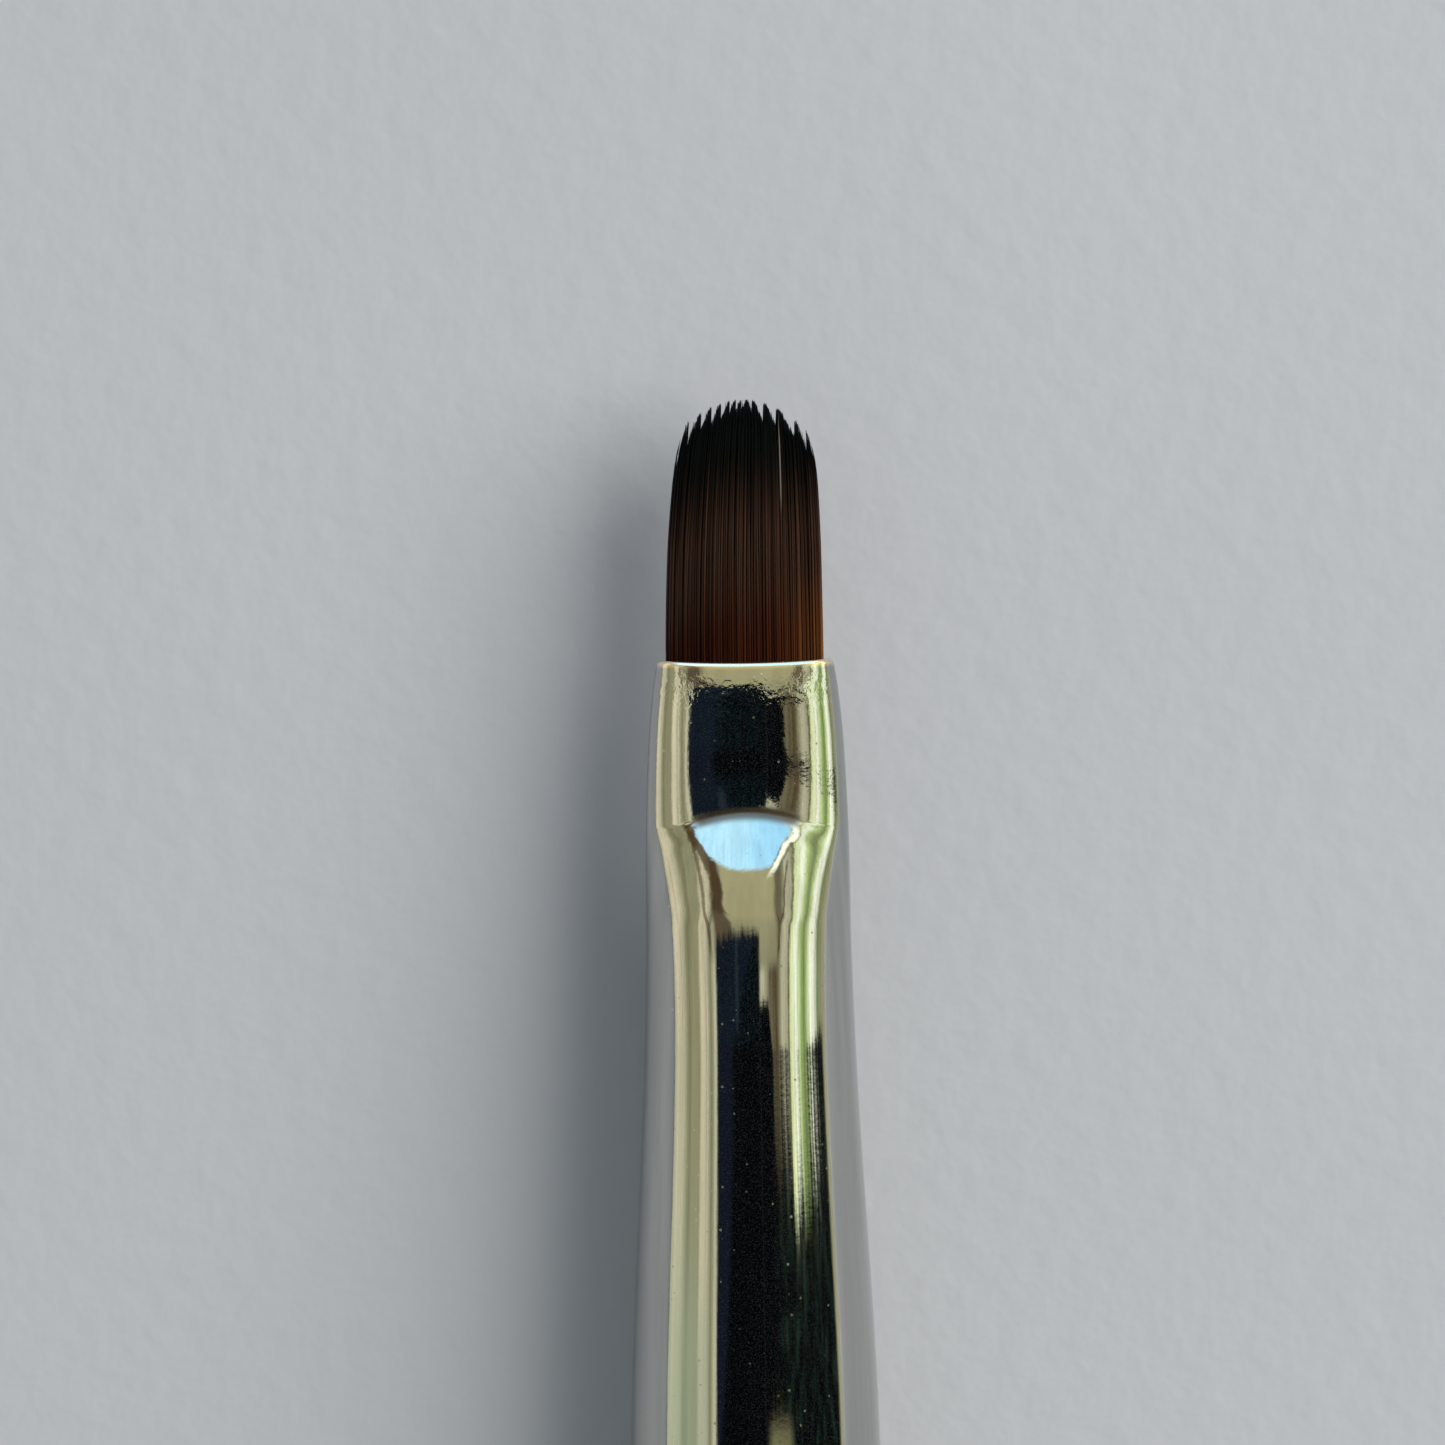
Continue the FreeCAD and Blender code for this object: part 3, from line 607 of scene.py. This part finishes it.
def make_ferrule(material):
    angle = np.linspace(0, 2 * math.pi, FERRULE_AROUND, endpoint=False)
    outer = rows(OUTER_ROWS)
    x, up, depth = ferrule_surface(outer, angle, 0.0)
    up = up + pressed_marks(x, up, depth)
    rear = rolled_edge(FERRULE_LENGTH - HALF_WALL, 1.0, angle)
    inner = place(*ferrule_surface(rows(INNER_ROWS), angle, WALL))
    front = rolled_edge(HALF_WALL, -1.0, angle)[::-1]
    stack = np.concatenate([place(x, up, depth), rear, inner, front])
    made = mesh_object("ferrule_tube", stack, ring_faces(len(stack), FERRULE_AROUND, closed=True))

    # Finish of the outer face, and the value for the rest of the sheet.
    row_depth = np.broadcast_to(outer[:, None], x.shape)
    finish = {
        "pressed": (pressed_share(x, depth), 0.0),
        "worn": (worn_share(row_depth, angle[None, :]), 0.0),
        "edge": (1 - smoothstep(0.10, 0.26, row_depth), 1.0),
    }
    others = len(stack) * FERRULE_AROUND - x.size
    for name, (values, elsewhere) in finish.items():
        add_attribute(made, name, np.append(values, np.full(others, elsewhere)))
    dress(made, material)
    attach(made, "handle_body")
    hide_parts("ferrule")


# Handle ----------------------------------------------------------------------------------


def tenon_radius(depth):
    """Radius of the tenon: it fills the collar, less the glue, and is grooved at the crimps."""
    cone_share = (depth - CONE_FRONT) / (COLLAR_START - CONE_FRONT)
    bore = CONE_RADIUS + (COLLAR_RADIUS - CONE_RADIUS) * cone_share - WALL - GLUE_FILM
    tenon = np.minimum(bore, COLLAR_RADIUS - WALL - GLUE_FILM)
    grooves = np.zeros_like(depth)
    for centre in CRIMP_DEPTHS:
        roller = CRIMP_ROLLER + WALL + FIT_GAP
        inside = np.clip(roller**2 - (depth - centre) ** 2, 0, None)
        grooves = np.maximum(grooves, np.sqrt(inside) - CRIMP_STANDOFF - WALL - GLUE_FILM)
    chamfer = np.clip(TENON_DEPTH + TENON_CHAMFER - depth, 0, None)
    return tenon - np.clip(grooves, 0, None) - chamfer


def shaft_radius(depth):
    """Radius of the shaft: rounded heel, grip swell, long hollow taper, round end."""
    rise = GRIP_RADIUS - HEEL_RADIUS
    front_radius = ((GRIP_DEPTH - HEEL_DEPTH - HEEL_ROUND) ** 2 + rise**2) / (2 * rise)
    swell = GRIP_RADIUS - (GRIP_DEPTH - depth) ** 2 / (2 * front_radius)
    sweep = GRIP_RADIUS - (depth - GRIP_DEPTH) ** 2 / (2 * SWEEP_RADIUS)
    slope = (SWEEP_DEPTH - GRIP_DEPTH) / SWEEP_RADIUS
    start = GRIP_RADIUS - (SWEEP_DEPTH - GRIP_DEPTH) ** 2 / (2 * SWEEP_RADIUS)
    length = TAIL_DEPTH - SWEEP_DEPTH
    t = np.clip((depth - SWEEP_DEPTH) / length, 0, 1)
    bend = start - TAIL_RADIUS - slope * length
    hollow = start - slope * length * t - bend * t * t
    end = np.sqrt(np.clip(TAIL_RADIUS**2 - (depth - TAIL_DEPTH) ** 2, 0, None))
    body = np.where(depth < GRIP_DEPTH, swell, np.where(depth < SWEEP_DEPTH, sweep, hollow))
    body = np.where(depth > TAIL_DEPTH, end, body)
    corner = np.clip((HEEL_DEPTH + HEEL_ROUND - depth) / HEEL_ROUND, 0, 1)
    return body - HEEL_ROUND * (1 - np.sqrt(1 - corner**2))


def make_handle(material):
    tip = TAIL_DEPTH + TAIL_RADIUS * np.sin(np.linspace(0, math.pi / 2, TAIL_ROWS)[1:-1])
    depth = np.concatenate([rows(TENON_ROWS), rows(SHAFT_ROWS), tip])
    angle = np.linspace(0, 2 * math.pi, HANDLE_AROUND, endpoint=False)
    # The dipped coat ends in a slightly wavy line and stands a little proud.
    line = DIP_DEPTH + 0.35 * np.sin(angle + 0.6) + 0.12 * np.sin(3 * angle)
    dipped = smoothstep(-DIP_EDGE, DIP_EDGE, depth[:, None] - line[None, :])
    before_end = smoothstep(TAIL_DEPTH + 2, TAIL_DEPTH - 2, depth)[:, None]
    turned = np.where(depth < HEEL_DEPTH, tenon_radius(depth), shaft_radius(depth))
    radius = turned[:, None] + DIP_FILM * dipped * before_end
    ring = place(radius * np.cos(angle), radius * np.sin(angle), depth[:, None] + 0 * radius)
    ends = place(np.zeros(2), np.zeros(2), np.array([TENON_DEPTH, HANDLE_END_DEPTH]))
    vertices = np.concatenate([ring.reshape(-1, 3), ends])
    faces = ring_faces(len(depth), HANDLE_AROUND)
    front_point, end_point = len(vertices) - 2, len(vertices) - 1
    last_ring = (len(depth) - 1) * HANDLE_AROUND
    for j in range(HANDLE_AROUND):
        k = (j + 1) % HANDLE_AROUND
        faces.append((front_point, k, j))
        faces.append((end_point, last_ring + j, last_ring + k))
    made = mesh_object("turned_handle", vertices, faces)
    add_attribute(made, "dipped", np.append(dipped, [0.0, 1.0]))
    dress(made, material)
    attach(made, "handle_body")
    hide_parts("handle")


# Hair ------------------------------------------------------------------------------------

HAIR_WIDE = smooth_curve(HAIR_SECTIONS, 1)
HAIR_HIGH = smooth_curve(HAIR_SECTIONS, 2)
BEND_START = tuple(place(0, 0, 0.0).tolist())
BEND_END = tuple(place(0, 0, -BEND_SHARE * HAIR_REACH).tolist())


def strand_mesh(name, x, up, depth, radius, along, marks, material):
    """Closed tubes, one per row of x, up, depth and radius, all across the Y direction."""
    strands, count = x.shape
    turn = np.linspace(0, 2 * math.pi, STRAND_SIDES, endpoint=False)
    tube_x = x[:, :, None] + radius[:, :, None] * np.cos(turn)
    tube_up = up[:, :, None] + radius[:, :, None] * np.sin(turn)
    tube_depth = np.broadcast_to(depth[:, :, None], tube_x.shape)
    vertices = place(tube_x, tube_up, tube_depth)
    faces = []
    for i in range(strands):
        first = i * count * STRAND_SIDES
        last = first + (count - 1) * STRAND_SIDES
        faces += ring_faces(count, STRAND_SIDES, first)
        faces.append(tuple(first + j for j in reversed(range(STRAND_SIDES))))
        faces.append(tuple(last + j for j in range(STRAND_SIDES)))
    made = mesh_object(name, vertices, faces)
    add_attribute(made, "along", np.repeat(along.ravel(), STRAND_SIDES))
    for key, values in marks.items():
        add_attribute(made, key, np.repeat(values, count * STRAND_SIDES))
    dress(made, material)
    return made


def packed_places():
    """Filament places in the mouth, as shares of the half width and thickness.

    A jittered close packing, so that neighbours touch but hardly run into each other.
    """
    wide, high = HAIR_SECTIONS[1][1] - FILAMENT / 2, HAIR_SECTIONS[1][2] - FILAMENT / 2
    found = []
    layers = int(high / (FILAMENT_SPACING * ROW_RISE)) + 1
    columns = int(wide / FILAMENT_SPACING) + 1
    for layer in range(-layers, layers + 1):
        for column in range(-columns, columns + 1):
            x = (column + 0.5 * (layer % 2) + random.gauss(0, PLACE_JITTER)) * FILAMENT_SPACING
            up = (layer * ROW_RISE + random.gauss(0, ROW_JITTER)) * FILAMENT_SPACING
            if (x / wide) ** 2 + (up / high) ** 2 < 1:
                found.append((x / wide, up / high))
    return found


def dome_reach(x):
    """Reach of the rounded end of the tuft at a distance across it."""
    return HAIR_REACH - DOME_FALL * (x - DOME_PEAK) ** 2


def filament(share, level, inner, peak, tip):
    """One filament: its line, thickness and colour marks from the root to the tip.

    Its lock comes to a point at the reach `peak`, on the lock's inner side.
    """
    t = np.linspace(0, 1, STRAND_STEPS) ** STEP_CROWDING
    reach = STRAND_ROOT + (tip - STRAND_ROOT) * t
    close_up = smoothstep(peak + CLOSE_UP_FROM, peak + CLOSE_UP_TO, reach)
    base_x = HAIR_WIDE(reach) * share
    point_x = DOME_WIDE * (inner + POINT_WIDE * (share - inner))
    wander = random.gauss(0, WANDER) * smoothstep(*WANDER_REACH, reach)
    lean = LEAN * (reach / HAIR_REACH) ** 2
    taper = 1 - TIP_TAPER * smoothstep(*TIP_PART, t) ** TIP_CURVE
    # Painted shade: on the left of the tuft, the black of the tips reaches further towards the
    # root.
    darker = random.gauss(0, DARK_START_SPREAD) + PAINTED_SHADE_AT_LEFT * smoothstep(0.1, 1.0, -share)
    return {
        "x": base_x + (point_x - base_x) * close_up + wander + lean,
        "up": HAIR_HIGH(reach) * level * (1 - POINT_FLAT * close_up),
        "depth": -reach,
        "radius": FILAMENT / 2 * taper * random.uniform(*THICKNESS_RANGE),
        "along": np.clip(reach / HAIR_REACH + darker, 0, 1),
        "shade": 0.04 + 0.78 * random.random() ** 1.4,
        "side": share,
    }


def comb(left, right, places, notch, slit_highlight_place):
    """Filaments of one lock, one dictionary each. The one nearest the slit is painted pale: a
    painted highlight along the slit.

    They lean to the lock's inner side, where its longest ones come to a point.
    """
    inner, outer = (left, right) if abs(left) < abs(right) else (right, left)
    peak = dome_reach(DOME_WIDE * inner)
    shoulder = dome_reach(DOME_WIDE * outer) - notch
    found = []
    for share, level in places:
        away = abs(share - inner) / abs(outer - inner)
        top = math.sqrt(max(1 - share * share, 0.05))
        shorter = (peak - shoulder) * away**SHOULDER_CURVE + LENGTH_SPREAD * random.random()
        shorter += CORE_SHORTER * away * (1 - abs(level) / top)
        strand = filament(share, level, inner, peak, peak - shorter)
        strand["pale"] = (share, level) == slit_highlight_place
        found.append(strand)
    return found


def make_lock(index, left, right, places, slit_highlight_place, material):
    """One lock of the tuft. The two in the middle end in two smaller points each."""
    strands = []
    points = LOCK_POINTS[index - 1]
    for i in range(points):
        low = left + (right - left) * i / points
        high = left + (right - left) * (i + 1) / points
        members = [p for p in places if low <= p[0] < high]
        strands += comb(low, high, members, NOTCH / points, slit_highlight_place)
    columns = {key: np.array([strand[key] for strand in strands]) for key in strands[0]}
    made = strand_mesh(
        "filaments_%02d" % index, columns["x"], columns["up"], columns["depth"],
        columns["radius"], columns["along"], {k: columns[k] for k in STRAND_MARKS}, material,
    )
    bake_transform(made)
    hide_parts("hair_lock_%02d" % index)


def make_hair(material):
    places = packed_places()
    # The top filament nearest SLIT_SHARE is painted pale: a painted highlight along the slit.
    top = [p for p in places if p[1] > math.sqrt(max(1 - p[0] ** 2, 0)) - 0.1]
    slit_highlight_place = min(top, key=lambda p: abs(p[0] - SLIT_SHARE))
    left = -1.0
    for index, share in enumerate(LOCK_SHARES[:LOCK_COUNT], start=1):
        right = min(left + share, 1.0) if index < LOCK_COUNT else 1.01
        make_lock(index, left, right, places, slit_highlight_place, material)
        left = right


def make_hair_root(material):
    """The roots in the ferrule: gathered from the flat mouth to the round tied bundle."""
    depth = np.linspace(ROOT_START, ROOT_END, ROOT_STEPS)
    gather = smoothstep(*ROOT_GATHER, depth)
    wide = ROOT_WIDE + (ROOT_BUNDLE - ROOT_WIDE) * gather
    high = ROOT_HIGH + (ROOT_BUNDLE - ROOT_HIGH) * gather
    step = ROOT_SPACING / ROOT_BUNDLE
    count = int(1 / step) + 1
    x, up, shade = [], [], []
    for i in range(-count, count + 1):
        for j in range(-count, count + 1):
            share_x = (i + 0.5 * (j % 2)) * step
            share_up = j * step * ROW_RISE
            if share_x**2 + share_up**2 > ROOT_FILL:
                continue
            x.append(share_x * wide)
            up.append(share_up * high)
            shade.append(random.random())
    shape = (len(x), ROOT_STEPS)
    made = strand_mesh(
        "hair_roots", np.array(x), np.array(up), np.broadcast_to(depth, shape),
        np.full(shape, ROOT_RADIUS), np.zeros(shape), {"shade": np.array(shade)}, material,
    )
    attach(made, "handle_body")
    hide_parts("hair_root")


# Surroundings ----------------------------------------------------------------------------

CREAM = colour(182, 179, 153)
ROSE = colour(208, 196, 168)
STRAW = colour(162, 160, 134)
OLIVE = colour(130, 128, 100)
WALL_TONE = colour(151, 146, 110)
SAGE = colour(142, 155, 131)
BROWN = colour(66, 51, 31)
SHADE = colour(104, 102, 74)
WINDOW = colour(246, 251, 230)
LEAF = colour(168, 194, 118)
BUD = colour(215, 230, 166)
MOSS = colour(98, 118, 72)
HEDGE = colour(28, 48, 38)
SKY_LEFT = colour(186, 232, 249)
SKY_RIGHT = colour(158, 214, 242)
SKY_STREAK = colour(124, 186, 232)
PALE_SKY = colour(178, 190, 196)
SLATE = colour(13, 18, 29)
GLINT = colour(34, 41, 49)
NIGHT = colour(2, 3, 5)
TEAL = colour(10, 32, 36)

# Stripes of the mirrored room, by angle across: 0 is overhead and 90 level at the right.
ROOM_STRIPES = [
    (-95, OLIVE), (-92, SHADE), (-89, CREAM), (-86, ROSE), (-76, CREAM), (-72, OLIVE),
    (-69, SHADE), (-66, OLIVE), (-57, OLIVE), (-54, ROSE), (-47, CREAM), (-43, SHADE),
    (-39, CREAM), (8, STRAW), (15, CREAM), (22, BROWN), (30, BROWN), (33, OLIVE),
    (35, CREAM), (41, STRAW), (43, BROWN), (45, BUD), (51, WINDOW), (56, LEAF),
    (61, MOSS), (65, LEAF), (69, WINDOW), (74, WINDOW), (79, MOSS), (84, OLIVE),
    (92, STRAW),
]
FAR_WALL = [(0.25, OLIVE), (0.45, WALL_TONE), (0.62, WALL_TONE), (0.66, CREAM)]

# Streaks of the room: noise per degree across, its shift, and per unit ahead; then its
# detail, and the noise values that count as no streak and full streak.
BROAD_STREAKS = ((0.35, 0.0, 3.0), 2.0, (0.32, 0.68))
FINE_STREAKS = ((2.0, 7.0, 5.0), 3.0, (0.42, 0.64))
LEAF_STREAKS = ((0.20, 4.0, 70.0), 4.0, (0.44, 0.80))
GRAIN_STREAKS = ((0.6, 0.0, 110.0), 3.0, (0.46, 0.72))

ROOM_STRENGTH = 2.35
AMBIENT_TONE, AMBIENT_STRENGTH = colour(214, 221, 232), 0.37
WINDOW_LIGHT_PLACE = (0.51, MOUTH_Y + 0.16, 0.53)
WINDOW_LIGHT_SIZE, WINDOW_LIGHT_WATTS = 0.66, 5.6
WINDOW_LIGHT_TONE = colour(255, 250, 246)

FLOOR_HALF = 1.5
CAMERA_HEIGHT = 0.30
CAMERA_TURN = math.radians(-0.77)
FRAME_WIDTH = 43.79 * MM
FRAME_RIGHT, FRAME_AHEAD = -0.682 * MM, -1.909 * MM


class Room:
    """The room that bright metal mirrors, drawn with nodes on the directions to it.

    `across` is a direction's angle about the brush in degrees, from 0 overhead to 90 level
    at the right, and `ahead` is how far it leans towards the tip of the brush.
    """

    def __init__(self, n):
        self.n = n
        split = n.node("ShaderNodeSeparateXYZ", {0: n.add("ShaderNodeTexCoord")})
        x, self.ahead, z = split.outputs
        self.across = n.math("DEGREES", n.math("ARCTAN2", x, z))
        self.broad = self.streaks(*BROAD_STREAKS)
        self.fine = self.streaks(*FINE_STREAKS)

    def streaks(self, sizes, detail, limits):
        """Soft uneven streaks, as a share from 0 to 1."""
        n = self.n
        per_degree, shift, per_ahead = sizes
        x, y = n.line(self.across, per_degree, shift), n.line(self.ahead, per_ahead, 0.0)
        point = n.add("ShaderNodeCombineXYZ", {0: x, 1: y})
        return n.ramp(n.noise(point, 1.0, detail), *limits)

    def past(self, slope, offset):
        """Degrees to the right of a slanted line."""
        return self.n.plus(self.across, self.n.line(self.ahead, slope, offset))

    def beyond(self, curve, offset):
        """How far ahead of an arched line."""
        arch = self.n.times(self.across, self.across)
        return self.n.plus(self.ahead, self.n.line(arch, curve, offset))

    def paint(self, tone, new_tone, opacity, *shares):
        """Lay new_tone over tone where the shares are 1, as strongly as opacity says."""
        return self.n.mix(self.n.times(*shares, opacity), tone, new_tone)

    def side_walls(self):
        """Tall stripes of wall and window; more window than wall on the right, further ahead."""
        n, across, ahead = self.n, self.across, self.ahead
        drift = n.times(n.ramp(ahead, 0.20, 0.45), n.ramp(across, 10, 40, 0.0, -8.0))
        tone = n.colours(n.plus(across, drift), ROOM_STRIPES)
        tone = self.paint(tone, STRAW, 0.22, self.broad)
        tone = self.paint(tone, SHADE, 0.42, self.fine)
        low_left = n.ramp(across, -50, -40, 0.55, 0.0)
        return self.paint(tone, SAGE, 1.0, low_left, n.ramp(ahead, 0.0, 0.07, 1.0, 0.0))

    def far_wall(self, tone):
        """The wall behind the tip, with a dark frame on its left and a dark line on its right."""
        n, across, ahead = self.n, self.across, self.ahead
        seen = n.ramp(ahead, 0.20, 0.25)
        past_frame = self.past(70.0, -5.0)
        wall = n.times(n.ramp(past_frame, -2.0, 3.0), n.ramp(across, 28, 34, 1.0, 0.0))
        tone = self.paint(tone, n.colours(ahead, FAR_WALL), 1.0, wall, seen)
        in_frame = n.times(
            n.ramp(self.past(30.0, 30.0), -2, 4), n.ramp(past_frame, -3, 3, 1.0, 0.0)
        )
        tone = self.paint(tone, BROWN, 0.9, in_frame, seen)
        thin_line = n.band(self.past(45.0, 31.0), -2, 2, 1)
        tone = self.paint(tone, BROWN, 0.7, thin_line, n.ramp(ahead, 0.20, 0.26))
        right_line = n.band(self.past(-46.0, -19.0), 0, 2, 0.8)
        return self.paint(tone, BROWN, 0.8, right_line, n.band(ahead, 0.24, 0.58, 0.02))

    def sky(self, tone):
        """Sky over the far wall, with its dark frame at the left and a curtain at the right."""
        n, across, ahead = self.n, self.across, self.ahead
        left, right = self.past(150.0, -45.0), self.past(-210.0, 102.0)
        beside = n.ramp(ahead, 0.56, 0.61)
        tone = self.paint(tone, WINDOW, 1.0, n.band(right, 3, 13, 2), beside)
        tone = self.paint(tone, SHADE, 0.8, n.band(right, 16, 19, 1.0), beside)
        tone = self.paint(tone, BROWN, 0.85, n.band(left, -13, 2, 2.5), n.ramp(ahead, 0.42, 0.52))
        over_wall = n.ramp(self.beyond(0.00001, -0.620), -0.005, 0.025)
        open_sky = n.times(over_wall, n.ramp(left, -2.0, 2.0), n.ramp(right, -3.0, 3.0, 1.0, 0.0))
        sky_tone = n.mix(n.ramp(across, -25, 40), SKY_LEFT, SKY_RIGHT)
        sky_tone = n.mix(n.ramp(ahead, 0.90, 0.98), sky_tone, PALE_SKY)
        sky_tone = self.paint(sky_tone, SKY_STREAK, 0.5, self.fine)
        return n.mix(open_sky, tone, sky_tone)

    def overhead(self, tone):
        """Something large and dark straight overhead."""
        n, across, ahead = self.n, self.across, self.ahead
        edge = n.plus(self.beyond(0.00004, -0.325), n.line(self.broad, 0.02, -0.01))
        inside = n.times(n.ramp(edge, -0.02, 0.02, 1.0, 0.0), n.band(across, -36.5, 11, 1.5))
        dark = n.mix(n.ramp(self.past(-110.0, 4.0), -27.0, -21.0), SLATE, NIGHT)
        glint = n.band(across, -15, -12, 1.5)
        dark = self.paint(dark, GLINT, 1.0, glint, n.ramp(ahead, 0.09, 0.15))
        grain = self.streaks(*GRAIN_STREAKS)
        dark = self.paint(dark, TEAL, 1.0, grain, n.ramp(ahead, 0.085, 0.10))
        return n.mix(inside, tone, dark)

    def garden(self, tone):
        """A dark garden low on the right, with a paler path in it."""
        n, across, ahead = self.n, self.across, self.ahead
        edge = n.plus(ahead, n.ramp(across, 19, 25, -0.155, -0.070))
        edge = n.plus(edge, n.ramp(across, 40, 46, 0.0, 0.020))
        edge = n.plus(edge, n.times(self.broad, -0.01))
        inside = n.times(n.ramp(edge, -0.008, 0.008, 1.0, 0.0), n.band(across, 9, 86, 2))
        dark = n.mix(self.streaks(*LEAF_STREAKS), NIGHT, HEDGE)
        dark = n.mix(n.ramp(across, 20, 32, 1.0, 0.0), dark, NIGHT)
        path = n.times(n.band(across, 14, 34, 4), n.ramp(ahead, -0.035, -0.015, 1.0, 0.0))
        return n.mix(inside, tone, n.mix(path, dark, SHADE))

    def colour(self):
        return self.garden(self.overhead(self.sky(self.far_wall(self.side_walls()))))


def make_world():
    """A room for the metal to mirror, and plain pale light for everything else."""
    world = bpy.data.worlds.new("studio")
    world.use_nodes = True
    bpy.context.scene.world = world
    n = Nodes(world.node_tree)
    room = {"Color": Room(n).colour(), "Strength": ROOM_STRENGTH}
    plain = {"Color": AMBIENT_TONE, "Strength": AMBIENT_STRENGTH}
    glossy = n.add("ShaderNodeLightPath", output="Is Glossy Ray")
    plain, room = n.add("ShaderNodeBackground", plain), n.add("ShaderNodeBackground", room)
    both = n.add("ShaderNodeMixShader", {0: glossy, 1: plain, 2: room})
    n.node("ShaderNodeOutputWorld", {"Surface": both})


def make_floor():
    half = FLOOR_HALF
    corners = np.array([[-half, -half, 0], [half, -half, 0], [half, half, 0], [-half, half, 0]])
    floor = mesh_object("floor", corners, [(0, 1, 2, 3)], smooth=False)
    dress(floor, pale_surface())


def make_window_light():
    """One soft light, seen by the floor and the hair but not mirrored in the metal."""
    light = bpy.data.lights.new("window_light", "AREA")
    light.shape = "RECTANGLE"
    light.size = light.size_y = WINDOW_LIGHT_SIZE
    light.energy = WINDOW_LIGHT_WATTS
    light.color = WINDOW_LIGHT_TONE[:3]
    lamp = bpy.data.objects.new("window_light", light)
    bpy.context.scene.collection.objects.link(lamp)
    lamp.location = WINDOW_LIGHT_PLACE
    lamp.rotation_mode = "QUATERNION"
    aim = Vector((0, MOUTH_Y, 0)) - Vector(WINDOW_LIGHT_PLACE)
    lamp.rotation_quaternion = aim.to_track_quat("-Z", "Y")
    lamp.visible_glossy = False


def make_camera():
    """Straight above the head of the brush, 43.8 mm of it in the frame."""
    turn = Matrix.Rotation(CAMERA_TURN, 4, "Z")
    data = bpy.data.cameras.new("camera")
    data.lens = data.sensor_width * CAMERA_HEIGHT / FRAME_WIDTH
    data.clip_start, data.clip_end = 0.01, 20.0
    camera = bpy.data.objects.new("camera", data)
    bpy.context.scene.collection.objects.link(camera)
    mouth = Vector((0, MOUTH_Y, AXIS_Z))
    offset = turn @ Vector((FRAME_RIGHT, FRAME_AHEAD, CAMERA_HEIGHT))
    camera.matrix_world = Matrix.Translation(mouth + offset) @ turn
    bpy.context.scene.camera = camera


# Assembly --------------------------------------------------------------------------------

bpy.context.scene.view_settings.view_transform = "Standard"
hair_material = hair()
make_ferrule(nickel())
make_handle(lacquered_wood())
make_hair(hair_material)
make_hair_root(hair_material)
dress(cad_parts["resin_plug"], amber_resin())
dress(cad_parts["handle_glue"], dry_glue())
dress(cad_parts["binding_thread"], waxed_thread())
make_floor()
make_world()
make_window_light()
make_camera()
